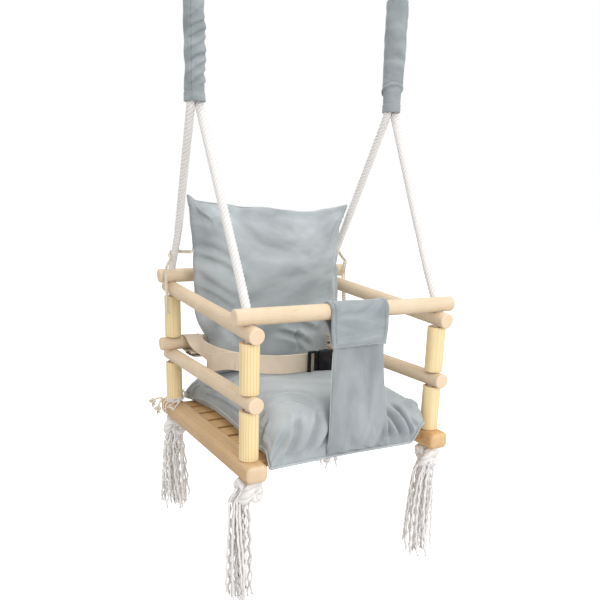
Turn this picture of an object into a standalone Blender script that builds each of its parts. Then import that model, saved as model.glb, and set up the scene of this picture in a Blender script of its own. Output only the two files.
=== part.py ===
"""Baby swing seat: dowels, posts, beams and slats threaded on two ropes, with a seat cushion, a back
pillow, a crotch panel and a lap belt. Metres, +Z up, the front bar at -Y, and +X to the right as seen from
the front. The origin is midway between the highest points inside the two hanging rings."""

import math

import bmesh
import bpy
from mathutils import Matrix, Vector

# Fits
GAP = 0.0003
BORE_CLEARANCE = 0.0016
SEATING_PLAY = 0.0002
CUTTER_REACH = 0.03

# Frame
DOWEL_D = 0.025
POST_D = 0.030
POST_LENGTH = 0.077
HOLE_X = 0.173
HOLE_Y = 0.1685
RAIL_OVERHANG = 0.025
END_CHAMFER = 0.0012
BEAM_WIDTH = 0.037
BEAM_HEIGHT = 0.029
BEAM_OVERHANG = 0.033
BEAM_ROUNDING = 0.0035
SLAT_COUNT = 8
SLAT_WIDTH = 0.036
SLAT_THICKNESS = 0.009
SLAT_INSET = 0.01275
SLAT_DROP = 0.006
SLAT_ROUNDING = 0.001
HOUSING_DEPTH = 0.008

# Ropes and what they hang from
ROPE_D = 0.012
ROPE_BEND_R = 0.024
LEG_PARTING = 0.075
LEG_EASE_R = 0.3
MOUTH_EASE_R = 0.030
MOUTH_STRAIGHT = 0.003
LEG_PLAY = 0.001
HANG_SPREAD = 0.011
HANG_Y = 0.010
SLEEVE_BOTTOM_Z = 0.520
SLEEVE_PUSHED_UP = {-1: 0.0, 1: 0.011}
SLEEVE_LENGTH = 0.188
SLEEVE_WALL = 0.0018
SLEEVE_PLAY = 0.0005
SLEEVE_HEM = 0.012
SLEEVE_HEM_SWELL = 0.0009
SLEEVE_CREASE = 0.0009
WHIPPING_HEIGHT = 0.014
WHIPPING_STANDOFF = 0.001
TWINE_D = 0.0035
EYE_R = 0.024
EYE_STANDOFF = 0.002
EYE_HALF_ANGLE = math.radians(25)
RING_WIRE_D = 0.008
RING_INNER_D = 0.040

# Knots and tassels
KNOT_HEIGHT = 0.041
KNOT_R = 0.021
KNOT_BULGE = 0.07
TASSEL_TOP_R = 0.009
TASSEL_BOTTOM_R = 0.025
TASSEL_FLUTE = 0.09
TASSEL_LENGTHS = {"front_left": 0.176, "front_right": 0.172, "rear_left": 0.155, "rear_right": 0.122}

# Soft pieces
RIM_HALF = 0.0016
SEAT_SIDE_CLEARANCE = 0.010
SEAT_FRONT_OVERHANG = 0.0265
SEAT_REAR_OVERHANG = 0.0315
SEAT_CROWN = 0.060
SEAT_PRESSED = 0.22
SEAT_PRESSED_FROM_Y = 0.02
SEAT_PRESSED_RUN = 0.08
SEAT_DRAWN = 0.02
SEAT_WAIST = 0.035
SEAT_RIM_Z = 0.012
SEAT_FRONT_DROOP = 0.022
SEAT_EDGE_START = 0.002
SEAT_EDGE_RUN = 0.020
SEAT_PLEAT = 0.0016
PILLOW_SIDE_CLEARANCE = 0.013
PILLOW_HEIGHT = 0.318
PILLOW_FORWARD = 0.0515
PILLOW_SETTLE = 0.003
PILLOW_CROWN = 0.038
PILLOW_SAG = 0.055
PILLOW_WAIST = 0.065
PILLOW_BELT_LAP = 0.0075
PILLOW_TUCK_RISE = 0.0795
PILLOW_TUCK_RUN = 0.127
PILLOW_CREASE = 0.0014
PANEL_X = 0.008
PANEL_TOP_WIDTH = 0.100
PANEL_BOTTOM_WIDTH = 0.118
PANEL_LOOP_FLARE = 0.003
PANEL_THICKNESS = 0.0026
SEAM_DROP = 0.054
SEAM_FORWARD = 0.014
# Panel stations below the seam, as shares of the way to the cushion's front edge: forward, down.
PANEL_STATIONS = ((0.09, 0.19), (0.37, 0.39), (0.69, 0.58), (0.91, 0.73), (1.14, 0.84), (1.09, 0.93), (1.0, 1.0))

# Belt
STRAP_WIDTH = 0.034
STRAP_THICKNESS = 0.0018
STRAP_POST_CLEARANCE = 0.003
# Strap stations from the back bar to the buckle, as shares of STRAP_X, of HOLE_Y and of the fall to the buckle.
STRAP_STATIONS = ((1.004, 0.896, 1.0), (1.011, 0.819, 0.95), (1.018, 0.736, 0.83), (1.018, 0.582, 0.57),
                  (0.996, 0.427, 0.43), (0.935, 0.285, 0.33), (0.819, 0.154, 0.22), (0.652, 0.053, 0.12),
                  (0.449, -0.024, 0.05), (0.290, -0.071, 0.02))
STRAP_TURN_START = 0.896
STRAP_TURN_RUN = 0.314
STRAP_LEAD = 0.014
SLIDE_SETBACK = 0.040
SLIDE_LENGTH = 0.031
SLIDE_THICKNESS = 0.0026
SLIDE_SLOT = 0.008
SLIDE_SLOT_OFFSET = 0.0065
SLIDE_MARGIN = 0.004
SLOT_PLAY = 0.0006

# Buckle
BUCKLE_X = 0.014
BUCKLE_Y = -0.018
BUCKLE_FOOT_FALL = 0.0368
BUCKLE_MARGIN = 0.0045
FRAME_LENGTH = 0.019
FRAME_BAR = 0.0045
FRAME_DEPTH = 0.0065
SOCKET_LENGTH = 0.040
SOCKET_DEPTH = 0.013
SOCKET_WALL = 0.0022
SOCKET_ROUNDING = 0.003
SOCKET_SLOT = 0.007
SOCKET_BAR = 0.004
WINDOW_LENGTH = 0.013
PRONG_LENGTH = 0.024
PRONG_THICKNESS = 0.0046
PRONG_WIDTH = 0.0042
PRONG_OFFSET = 0.0125
BARB_LENGTH = 0.010
BARB_OFFSET = 0.0155
GUIDE_WIDTH = 0.005
PLASTIC_ROUNDING = 0.0008
PLAY = 0.0005

# Ties
TIE_D = 0.003
TIE_PLAY = 0.0004
TIE_WRAP_RISE = 0.035
TIE_EASE_R = 0.006
TIE_TAIL_OUT = 0.0165
SEAT_TIE_Z = 0.0042
SEAT_TIE_TAIL = 0.016

ROPE_R = ROPE_D / 2
DOWEL_R = DOWEL_D / 2
POST_R = POST_D / 2
BORE_R = ROPE_R + BORE_CLEARANCE
SIDES = {"left": -1, "right": 1}

# Widths and depths that follow from the frame
CROSS_BAR_LENGTH = 2 * (HOLE_X + RAIL_OVERHANG)
SLAT_PITCH = 2 * (HOLE_Y - SLAT_INSET) / (SLAT_COUNT - 1)
LEG_SPACING = ROPE_D + LEG_PLAY
HANG_X = HOLE_X + HANG_SPREAD
SEAT_HALF_X = HOLE_X - POST_R - SEAT_SIDE_CLEARANCE
SEAT_FRONT_Y = -HOLE_Y - SEAT_FRONT_OVERHANG
SEAT_REAR_Y = HOLE_Y + SEAT_REAR_OVERHANG
PILLOW_HALF_X = HOLE_X - PILLOW_SIDE_CLEARANCE
PILLOW_Y = HOLE_Y - PILLOW_FORWARD
STRAP_X = HOLE_X - POST_R - STRAP_POST_CLEARANCE - STRAP_WIDTH / 2
SLIDE_Y = HOLE_Y - SLIDE_SETBACK
SEAM_Y = -HOLE_Y - SEAM_FORWARD
BUCKLE_HEIGHT = STRAP_WIDTH + 2 * BUCKLE_MARGIN
SOCKET_X = BUCKLE_X + FRAME_LENGTH + PLAY

# Heights of the stacks over the top of the base beams. Two crossing dowels touch at the rims of their bores.
CROSS_SINK = 2 * (DOWEL_R - math.sqrt(DOWEL_R ** 2 - BORE_R ** 2 / 2))
RAIL_RISE = DOWEL_D - CROSS_SINK + 2 * GAP
MID_RAIL_Z = GAP + POST_LENGTH + GAP + DOWEL_R
BACK_MID_Z = MID_RAIL_Z + RAIL_RISE
SLOPE = RAIL_RISE / (2 * HOLE_Y)
SADDLE = POST_R * SLOPE + SEATING_PLAY
FRONT_RAIL_Z = MID_RAIL_Z + DOWEL_R + GAP + POST_LENGTH + GAP + SADDLE + DOWEL_R
REAR_RAIL_Z = FRONT_RAIL_Z + RAIL_RISE
FRONT_BAR_Z = FRONT_RAIL_Z + RAIL_RISE
BACK_TOP_Z = REAR_RAIL_Z + RAIL_RISE

# Heights of the soft pieces and the buckle
SEAT_FLOOR_Z = GAP - SLAT_DROP
SEAT_TOP_Z = SEAT_RIM_Z + RIM_HALF + SEAT_CROWN * (1 - SEAT_PRESSED)
PILLOW_CENTRE_Z = SEAT_TOP_Z - PILLOW_SETTLE + GAP + PILLOW_HEIGHT / 2
PILLOW_TUCK_TOP_Z = BACK_MID_Z + PILLOW_TUCK_RISE
SEAM_Z = FRONT_BAR_Z - SEAM_DROP
STRAP_TAIL_Z = BACK_MID_Z - DOWEL_R - GAP - STRAP_THICKNESS / 2
BUCKLE_Z = BACK_MID_Z - BUCKLE_FOOT_FALL + BUCKLE_HEIGHT / 2

# Heights of the hanging end
WHIPPING_Z = SLEEVE_BOTTOM_Z + SLEEVE_LENGTH + WHIPPING_STANDOFF
EYE_FOOT_Z = WHIPPING_Z + WHIPPING_HEIGHT + EYE_STANDOFF
EYE_SLOPE_LENGTH = (EYE_R * math.cos(EYE_HALF_ANGLE) - LEG_SPACING / 2) / math.sin(EYE_HALF_ANGLE)
EYE_CENTRE_Z = EYE_FOOT_Z + EYE_SLOPE_LENGTH * math.cos(EYE_HALF_ANGLE) + EYE_R * math.sin(EYE_HALF_ANGLE)
RING_R = (RING_INNER_D + RING_WIRE_D) / 2
RING_BOTTOM_Z = EYE_CENTRE_Z + EYE_R - ROPE_R - GAP - RING_WIRE_D / 2
RING_CENTRE_Z = RING_BOTTOM_Z + RING_R
ORIGIN_Z = RING_CENTRE_Z + RING_INNER_D / 2

# How finely round pieces are faceted
ROUND = 24
BORE_FACETS = 16
CORD_STEP = 0.034
TIE_STEP = 0.012


def clear_scene():
    for obj in list(bpy.data.objects):
        bpy.data.objects.remove(obj)


def material(name, colour, roughness, metallic=0.0):
    mat = bpy.data.materials.new(name)
    mat.use_nodes = True
    shader = mat.node_tree.nodes["Principled BSDF"]
    shader.inputs["Base Color"].default_value = (*colour, 1.0)
    shader.inputs["Roughness"].default_value = roughness
    shader.inputs["Metallic"].default_value = metallic
    return mat


def place(obj, mat, location=(0, 0, 0), rotation=(0, 0, 0), smooth=True, helper=False):
    obj.location = location
    obj.rotation_euler = rotation
    obj.parent = DATUM
    bpy.context.scene.collection.objects.link(obj)
    if obj.type == "MESH":
        for polygon in obj.data.polygons:
            polygon.use_smooth = smooth
    if mat:
        obj.data.materials.append(mat)
    if helper:
        obj.hide_render = True
        obj.display_type = "WIRE"
    return obj


def solid(name, points, faces, mat, **where):
    mesh = bpy.data.meshes.new(name)
    mesh.from_pydata([tuple(p) for p in points], [], faces)
    work = bmesh.new()
    work.from_mesh(mesh)
    bmesh.ops.recalc_face_normals(work, faces=work.faces)
    work.to_mesh(mesh)
    work.free()
    return place(bpy.data.objects.new(name, mesh), mat, **where)


def closed_rings(rings):
    """Points and faces of a tube-like solid: equal rings of points joined in order, both ends capped."""
    count = len(rings[0])
    points = [p for ring in rings for p in ring]
    faces = []
    for i in range(len(rings) - 1):
        for j in range(count):
            k = (j + 1) % count
            faces.append((i * count + j, i * count + k, (i + 1) * count + k, (i + 1) * count + j))
    faces.append(tuple(range(count)))
    faces.append(tuple((len(rings) - 1) * count + j for j in range(count)))
    return points, faces


def looped_rings(rings):
    """The same where the last ring joins the first, as on a torus."""
    count = len(rings[0])
    points = [p for ring in rings for p in ring]
    faces = []
    for i in range(len(rings)):
        n = (i + 1) % len(rings)
        for j in range(count):
            k = (j + 1) % count
            faces.append((i * count + j, i * count + k, n * count + k, n * count + j))
    return points, faces


def turned(name, profile, segments, mat, **where):
    """A solid of revolution about Z from a closed profile of radius and height."""
    rings = []
    for i in range(segments):
        angle = 2 * math.pi * i / segments
        rings.append([(r * math.cos(angle), r * math.sin(angle), z) for r, z in profile])
    return solid(name, *looped_rings(rings), mat, **where)


def rod(name, radius, length, mat, chamfer=END_CHAMFER, segments=ROUND, **where):
    """A round bar about Z, centred, with chamfered ends."""
    rings = []
    half = length / 2
    for r, z in ((radius - chamfer, -half), (radius, -half + chamfer), (radius, half - chamfer),
                 (radius - chamfer, half)):
        rings.append([(r * math.cos(2 * math.pi * i / segments), r * math.sin(2 * math.pi * i / segments), z)
                      for i in range(segments)])
    return solid(name, *closed_rings(rings), mat, **where)


def box(name, size, mat, rounding=0.0, facets=2, **where):
    mesh = bpy.data.meshes.new(name)
    work = bmesh.new()
    bmesh.ops.create_cube(work, size=1.0, matrix=Matrix.Diagonal((*size, 1.0)))
    if rounding:
        bmesh.ops.bevel(work, geom=work.edges[:], offset=rounding, segments=facets, profile=0.5, affect="EDGES")
    work.to_mesh(mesh)
    work.free()
    return place(bpy.data.objects.new(name, mesh), mat, smooth=False, **where)


def cut(obj, cutter, operation="DIFFERENCE"):
    step = obj.modifiers.new(cutter.name, "BOOLEAN")
    step.operation = operation
    step.solver = "EXACT"
    step.object = cutter


def bore(obj, location, rotation=(0, 0, 0)):
    """A rope's hole through a piece, past both its faces."""
    name = f"{obj.name}_bore_{len(obj.modifiers)}"
    cutter = rod(name, BORE_R, 2 * CUTTER_REACH, None, chamfer=BORE_R / 40, segments=BORE_FACETS,
                 location=location, rotation=rotation, helper=True)
    cut(obj, cutter)


def tube(name, points, diameter, mat, resolution=3):
    curve = bpy.data.curves.new(name, "CURVE")
    curve.dimensions = "3D"
    curve.bevel_depth = diameter / 2
    curve.bevel_resolution = resolution
    curve.use_fill_caps = True
    line = curve.splines.new("POLY")
    line.points.add(len(points) - 1)
    for slot, point in zip(line.points, points):
        slot.co = (*point, 1.0)
    return place(bpy.data.objects.new(name, curve), mat)


def eased(corners, radii, step, facet=12):
    """Points of a line through corners, each inner corner rounded to its radius in facets of so many degrees
    at most, no two points over step apart."""
    corners = [Vector(c) for c in corners]
    out = [corners[0]]
    for i in range(1, len(corners) - 1):
        before = (corners[i] - corners[i - 1]).normalized()
        after = (corners[i + 1] - corners[i]).normalized()
        turn = before.angle(after)
        if turn < 1e-3:
            out.append(corners[i])
            continue
        reach = radii[i - 1] * math.tan(turn / 2)
        centre = corners[i] + (after - before).normalized() * radii[i - 1] / math.cos(turn / 2)
        start = corners[i] - before * reach - centre
        axis = before.cross(after).normalized()
        count = max(1, math.ceil(turn / math.radians(facet)))
        out += [centre + Matrix.Rotation(turn * k / count, 3, axis) @ start for k in range(count + 1)]
    out.append(corners[-1])
    filled = [out[0]]
    for point in out[1:]:
        parts = max(1, math.ceil((point - filled[-1]).length / step))
        last = filled[-1].copy()
        filled += [last.lerp(point, k / parts) for k in range(1, parts + 1)]
    return filled


def corner_z(bar_z):
    """Height of the rope's bend, where a top bar lies on its side rail."""
    return bar_z - DOWEL_R + CROSS_SINK


def mouth_z(side):
    """Height of a sleeve's mouth."""
    return SLEEVE_BOTTOM_Z + SLEEVE_PUSHED_UP[side]


def sleeve_length(side):
    return SLEEVE_LENGTH - SLEEVE_PUSHED_UP[side]


def leg_way(side, bar_z, end):
    """Unit vector up a rope's free leg, in the plane of its side. end is -1 at the front and 1 at the rear."""
    foot = Vector((0, end * HOLE_Y, corner_z(bar_z)))
    head = Vector((0, HANG_Y, mouth_z(side) - MOUTH_STRAIGHT))
    return (head - foot).normalized()


def sleeve_leg(side, end, share):
    """Where a leg runs in the sleeve, from its mouth at share 0 to its top at 1: a quarter turn up it."""
    angle = math.pi / 2 * share
    reach = LEG_SPACING / 2
    return Vector((side * HANG_X - end * reach * math.cos(angle), HANG_Y + end * reach * math.sin(angle),
                   mouth_z(side) + sleeve_length(side) * share))


def half_rope(side, end):
    """Points of one half of a rope, from under its base beam to the top of its eye."""
    bar_z = FRONT_BAR_Z if end < 0 else BACK_TOP_Z
    foot = Vector((side * HOLE_X, end * HOLE_Y, -BEAM_HEIGHT))
    bend = Vector((side * HOLE_X, end * HOLE_Y, corner_z(bar_z)))
    parting = bend + leg_way(side, bar_z, end) * LEG_PARTING
    mouth = Vector((sleeve_leg(side, end, 0).x, HANG_Y, mouth_z(side) - MOUTH_STRAIGHT))
    inside = mouth + Vector((0, 0, 3.7 * MOUTH_STRAIGHT))
    points = eased([foot, bend, parting, mouth, inside], [ROPE_BEND_R, LEG_EASE_R, MOUTH_EASE_R], CORD_STEP)
    first = 1 / 8
    points += [sleeve_leg(side, end, first + (1 - first) * k / 7) for k in range(8)]
    eye_foot = Vector((side * HANG_X, HANG_Y + end * LEG_SPACING / 2, EYE_FOOT_Z))
    out_y = HANG_Y + end * EYE_R * math.cos(EYE_HALF_ANGLE)
    eye_side = Vector((side * HANG_X, out_y, EYE_CENTRE_Z - EYE_R * math.sin(EYE_HALF_ANGLE)))
    points += eased([points.pop(), eye_foot, eye_side], [EYE_R], CORD_STEP)
    arc = [-EYE_HALF_ANGLE + (math.pi / 2 + EYE_HALF_ANGLE) * k / 6 for k in range(1, 6)]
    for angle in arc:
        points.append(Vector((side * HANG_X, HANG_Y + end * EYE_R * math.cos(angle),
                              EYE_CENTRE_Z + EYE_R * math.sin(angle))))
    return points


def rope(name, side, mat):
    top = Vector((side * HANG_X, HANG_Y, EYE_CENTRE_Z + EYE_R))
    return tube(name, half_rope(side, -1) + [top] + half_rope(side, 1)[::-1], ROPE_D, mat)


def ring(name, side, mat):
    """A steel ring of round wire in the XZ plane, its lowest point in the rope's eye."""
    rings = []
    for i in range(ROUND):
        angle = 2 * math.pi * (i + 0.5) / ROUND
        loop = []
        for j in range(8):
            turn = 2 * math.pi * j / 8
            r = RING_R + RING_WIRE_D / 2 * math.cos(turn)
            loop.append((r * math.cos(angle), RING_WIRE_D / 2 * math.sin(turn), r * math.sin(angle)))
        rings.append(loop)
    where = (side * HANG_X, HANG_Y, RING_CENTRE_Z)
    return solid(name, *looped_rings(rings), mat, location=where)


def whipping(name, side, mat):
    """Turns of twine laid round both legs of a rope under its eye."""
    turns = int(WHIPPING_HEIGHT / TWINE_D)
    profile = [(0.0, WHIPPING_HEIGHT), (0.0, 0.0)]
    for i in range(turns):
        for k in (0.2, 0.8):
            swell = TWINE_D * (0.75 + 0.25 * math.sin(math.pi * k))
            profile.append((swell, WHIPPING_HEIGHT * (i + k) / turns))
    rings = []
    inner = (ROPE_R + GAP) / math.cos(math.pi / ROUND)
    for i in range(ROUND):
        angle = 2 * math.pi * (i + 0.5) / ROUND
        shift = math.copysign(LEG_SPACING / 2, math.sin(angle))
        loop = []
        for out, z in profile:
            r = inner + out
            loop.append((r * math.cos(angle), r * math.sin(angle) + shift, z))
        rings.append(loop)
    return solid(name, *looped_rings(rings), mat, location=(side * HANG_X, HANG_Y, WHIPPING_Z))


def sleeve(name, side, mat):
    """A soft fabric tube with a hem at its mouth, drawn in a little where it creases."""
    inner = LEG_SPACING / 2 + ROPE_R + SLEEVE_PLAY
    length = sleeve_length(side)
    rows = 10
    rings = []
    for i in range(22):
        angle = 2 * math.pi * i / 22
        loop = [(inner, length), (inner, 0.0)]
        for k in range(rows + 1):
            z = length * k / rows
            slack = SLEEVE_CREASE * (1 + math.sin(2 * angle + 26 * z / length * side))
            hem = SLEEVE_HEM_SWELL if z < SLEEVE_HEM else 0.0
            loop.append((inner + SLEEVE_WALL + slack + hem, z))
        rings.append([(r * math.cos(angle), r * math.sin(angle), z) for r, z in loop])
    return solid(name, *looped_rings(rings), mat, location=(side * HANG_X, HANG_Y, mouth_z(side)))


def post(name, x, y, foot, mat):
    low, high = END_CHAMFER / 2, POST_LENGTH - END_CHAMFER / 2
    rim = POST_R - END_CHAMFER / 2
    profile = [(BORE_R, 0), (rim, 0), (POST_R, low), (POST_R, high), (rim, POST_LENGTH), (BORE_R, POST_LENGTH)]
    return turned(name, profile, ROUND, mat, location=(x, y, foot))


def cross_bar(name, y, z, mat, end=0, bored=True):
    """A dowel across the seat, bored for the ropes; end tilts the bores along the free legs."""
    bar = rod(name, DOWEL_R, CROSS_BAR_LENGTH, mat, rotation=(0, math.pi / 2, 0), location=(0, y, z))
    for side in SIDES.values():
        way = leg_way(side, z, end) if end else Vector((0, 0, 1))
        lean = -math.atan2(way.y, way.z)
        middle = Vector((side * HOLE_X, end * HOLE_Y if end else y, corner_z(z))) + way * DOWEL_R
        bore(bar, middle, rotation=(lean, 0, 0))
    return bar


def side_rail(name, side, front_z, rear_z, mat):
    """A fore-and-aft dowel, level or rising to the rear, bored upright at both stacks."""
    rise = math.atan2(rear_z - front_z, 2 * HOLE_Y)
    length = (2 * HOLE_Y + 2 * RAIL_OVERHANG) / math.cos(rise)
    rail = rod(name, DOWEL_R, length, mat, location=(side * HOLE_X, 0, (front_z + rear_z) / 2),
               rotation=(-math.pi / 2 + rise, 0, 0))
    for y, z in ((-HOLE_Y, front_z), (HOLE_Y, rear_z)):
        bore(rail, (side * HOLE_X, y, z))
    return rail


def slat_places():
    first = -SLAT_PITCH * (SLAT_COUNT - 1) / 2
    return [first + SLAT_PITCH * i for i in range(SLAT_COUNT)]


def base_beam(name, side, mat):
    """A base beam with a housing for the end of each slat in its inner face."""
    length = 2 * (HOLE_Y + BEAM_OVERHANG)
    beam = box(name, (BEAM_WIDTH, length, BEAM_HEIGHT), mat, rounding=BEAM_ROUNDING,
               location=(side * HOLE_X, 0, -BEAM_HEIGHT / 2))
    for y in (-HOLE_Y, HOLE_Y):
        bore(beam, (side * HOLE_X, y, -BEAM_HEIGHT / 2))
    inner_x = side * (HOLE_X - BEAM_WIDTH / 2)
    for i, y in enumerate(slat_places()):
        size = (2 * (HOUSING_DEPTH + GAP), SLAT_WIDTH + 2 * GAP, SLAT_THICKNESS + 2 * GAP)
        housing = box(f"{name}_housing_{i}", size, None, helper=True,
                      location=(inner_x, y, -SLAT_DROP - SLAT_THICKNESS / 2))
        cut(beam, housing)
    return beam


def slat(name, y, mat):
    length = 2 * (HOLE_X - BEAM_WIDTH / 2 + HOUSING_DEPTH)
    return box(name, (length, SLAT_WIDTH, SLAT_THICKNESS), mat, rounding=SLAT_ROUNDING, facets=1,
               location=(0, y, -SLAT_DROP - SLAT_THICKNESS / 2))


def knot(name, x, y, turn, mat):
    """A stopper knot drawn up under a base beam: a squat ball with the bulges of its turns."""
    rings = []
    rows = 7
    for k in range(rows + 1):
        share = k / rows
        z = -BEAM_HEIGHT - GAP - KNOT_HEIGHT * share
        girth = math.sin(math.pi * (0.2 + 0.66 * share)) ** 0.8
        loop = []
        for i in range(16):
            angle = 2 * math.pi * i / 16
            bulge = 1 + KNOT_BULGE * math.sin(3 * angle + 5 * share + turn)
            loop.append((x + KNOT_R * girth * bulge * math.cos(angle),
                         y + KNOT_R * girth * bulge * math.sin(angle), z))
        rings.append(loop)
    return solid(name, *closed_rings(rings), mat)


def tassel(name, x, y, length, turn, mat):
    """The rope's unlaid strands under the knot, as one fluted bundle."""
    rings = []
    rows = 5
    for k in range(rows + 1):
        share = k / rows
        z = -BEAM_HEIGHT - KNOT_HEIGHT - 2 * GAP - length * share
        radius = TASSEL_TOP_R + (TASSEL_BOTTOM_R - TASSEL_TOP_R) * share ** 0.7
        loop = []
        for i in range(20):
            angle = 2 * math.pi * i / 20
            r = radius * (1 + TASSEL_FLUTE * math.sin(5 * angle + turn + 2 * share))
            loop.append((x + r * math.cos(angle), y + r * math.sin(angle), z))
        rings.append(loop)
    return solid(name, *closed_rings(rings), mat)


def stuffed(name, count_u, count_v, surface, mat):
    """A stuffed cover sewn round its rim. surface gives the point at u, v from -1 to 1 on face 1 or -1."""
    def spread(count):
        return [math.sin(math.pi / 2 * (2 * i / count - 1)) for i in range(count + 1)]

    us, vs = spread(count_u), spread(count_v)
    points, faces = [], []
    for face in (1, -1):
        base = len(points)
        points += [surface(u, v, face) for u in us for v in vs]
        for i in range(count_u):
            for j in range(count_v):
                a = base + i * (count_v + 1) + j
                quad = (a, a + count_v + 1, a + count_v + 2, a + 1)
                faces.append(quad if face > 0 else quad[::-1])
    low = (count_u + 1) * (count_v + 1)
    edge = [i * (count_v + 1) for i in range(count_u)]
    edge += [count_u * (count_v + 1) + j for j in range(count_v)]
    edge += [i * (count_v + 1) + count_v for i in range(count_u, 0, -1)]
    edge += list(range(count_v, 0, -1))
    for a, b in zip(edge, edge[1:] + edge[:1]):
        faces.append((a, b, low + b, low + a))
    return solid(name, points, faces, mat)


def smooth_step(x):
    x = min(1.0, max(0.0, x))
    return x * x * (3 - 2 * x)


def fullness(u, v, power):
    return math.sqrt(max(0.0, (1 - abs(u) ** power) * (1 - abs(v) ** power)))


def seat_surface(u, v, face):
    """The seat cushion: flat under the crown where it lies on the slats, hanging down at its front edge."""
    drawn_x = SEAT_HALF_X * (1 - SEAT_WAIST * (1 - v * v))
    mid_y, half_y = (SEAT_FRONT_Y + SEAT_REAR_Y) / 2, (SEAT_REAR_Y - SEAT_FRONT_Y) / 2
    x = u * drawn_x
    y = mid_y + v * half_y * (1 - SEAT_DRAWN * (1 - u * u))
    over_slats = smooth_step((y - SEAT_FRONT_Y - SEAT_EDGE_START) / SEAT_EDGE_RUN)
    rim = SEAT_RIM_Z - SEAT_FRONT_DROOP * (1 - over_slats)
    full = fullness(u, v, 4)
    pleat = SEAT_PLEAT * math.sin(u * 26) * smooth_step((-v - 0.35) / 0.5) * full
    if face > 0:
        crown = SEAT_CROWN * (1 - SEAT_PRESSED * smooth_step((y - SEAT_PRESSED_FROM_Y) / SEAT_PRESSED_RUN))
        return x, y, rim + RIM_HALF + (crown + SEAT_RIM_Z - rim) * full + pleat
    under = rim - RIM_HALF
    return x, y, under + (SEAT_FLOOR_Z - under) * min(1.0, 1.6 * full) if under > SEAT_FLOOR_Z else under


def pillow_half(v):
    """Half the pillow's width at v: widest at its ears, drawn in at its foot by the belt on either side."""
    def drawn(z):
        return smooth_step((PILLOW_TUCK_TOP_Z - z) / PILLOW_TUCK_RUN)

    def waisted(share):
        return PILLOW_HALF_X * (1 - PILLOW_WAIST * (1 - share * share))

    belt_z = BACK_MID_Z + 0.6 * STRAP_WIDTH
    at_belt = waisted((belt_z - PILLOW_CENTRE_Z) / (PILLOW_HEIGHT / 2))
    tuck = (at_belt - (STRAP_X - STRAP_WIDTH / 2 + PILLOW_BELT_LAP)) / drawn(belt_z)
    return waisted(v) - tuck * drawn(PILLOW_CENTRE_Z + v * PILLOW_HEIGHT / 2)


def pillow_surface(u, v, face):
    """The back pillow, standing on edge: eared top corners, a drawn-in foot, its back against the top bar."""
    half_x = pillow_half(v)
    sag = PILLOW_SAG * (1 - u * u) if v > 0 else 0.0
    z = PILLOW_CENTRE_Z + v * PILLOW_HEIGHT / 2 * (1 - sag)
    full = fullness(u, v, 2.6)
    crease = PILLOW_CREASE * math.sin(9 * v + 4 * u) * full
    if face > 0:
        reach = PILLOW_CROWN * full + crease
    else:
        reach = min(PILLOW_CROWN * full, HOLE_Y - DOWEL_R - GAP - RIM_HALF - PILLOW_Y)
    return u * half_x, PILLOW_Y - face * (RIM_HALF + reach), z


def strip(name, stations, thickness, mat, loop=False):
    """A flat band through stations of centre, half width, and the unit vector across it."""
    count = len(stations)
    rings = []
    for i, (centre, half, across) in enumerate(stations):
        if loop:
            way = stations[(i + 1) % count][0] - stations[i - 1][0]
        else:
            way = stations[min(i + 1, count - 1)][0] - stations[max(i - 1, 0)][0]
        across = across.normalized()
        normal = across.cross(way).normalized() * thickness / 2
        edge = across * half
        rings.append([centre + edge + normal, centre - edge + normal, centre - edge - normal,
                      centre + edge - normal])
    return solid(name, *(looped_rings(rings) if loop else closed_rings(rings)), mat)


def bar_loop(name, mat):
    """The panel's top, sewn to itself round the front bar; its lower end is the seam."""
    wrap = DOWEL_R + GAP + PANEL_THICKNESS / 2
    across = Vector((1, 0, 0))
    half, flare = PANEL_TOP_WIDTH / 2, PANEL_LOOP_FLARE
    seam_gap = PANEL_THICKNESS / 2 + GAP / 2
    rise = SEAM_DROP / 3
    stations = []

    def add(y, z, widen=0.0):
        stations.append((Vector((PANEL_X, y, z)), half + widen, across))

    def touching(y, z, turn):
        """Angle round the bar at which a line from the point y, z touches the loop's round."""
        from_bar = Vector((y + HOLE_Y, z - FRONT_BAR_Z))
        return math.atan2(from_bar.y, from_bar.x) + turn * math.acos(wrap / from_bar.length)

    front_y, back_y = SEAM_Y - seam_gap, SEAM_Y + seam_gap
    add(front_y, SEAM_Z)
    add(front_y + GAP, SEAM_Z + rise, flare / 3)
    turns = 14
    start = touching(front_y + GAP, SEAM_Z + rise, -1) + 2 * math.pi
    stop = touching(back_y + rise / 3, SEAM_Z + 1.2 * rise, 1)
    for i in range(turns + 1):
        angle = start + (stop - start) * i / turns
        add(-HOLE_Y + wrap * math.cos(angle), FRONT_BAR_Z + wrap * math.sin(angle), flare)
    add(back_y + rise / 3, SEAM_Z + 1.2 * rise, flare / 3)
    add(back_y, SEAM_Z)
    return strip(name, stations, PANEL_THICKNESS, mat)


def crotch_panel(name, mat):
    """The panel below its seam, down the front of the cushion to the cushion's front edge."""
    drawn = SEAT_DRAWN * (SEAT_REAR_Y - SEAT_FRONT_Y) / 2
    front = SEAT_FRONT_Y + 0.8 * drawn - PANEL_THICKNESS / 2 - GAP
    low = SEAT_RIM_Z - SEAT_FRONT_DROOP - RIM_HALF
    top = SEAM_Z - GAP
    stations = []
    for forward, down in ((0.0, 0.0),) + PANEL_STATIONS:
        width = PANEL_TOP_WIDTH + (PANEL_BOTTOM_WIDTH - PANEL_TOP_WIDTH) * down ** 1.6
        centre = Vector((PANEL_X, SEAM_Y + (front - SEAM_Y) * forward, top + (low - top) * down))
        stations.append((centre, width / 2 - PANEL_LOOP_FLARE * (1 - down), Vector((1, 0, 0))))
    return strip(name, stations, PANEL_THICKNESS, mat)


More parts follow.
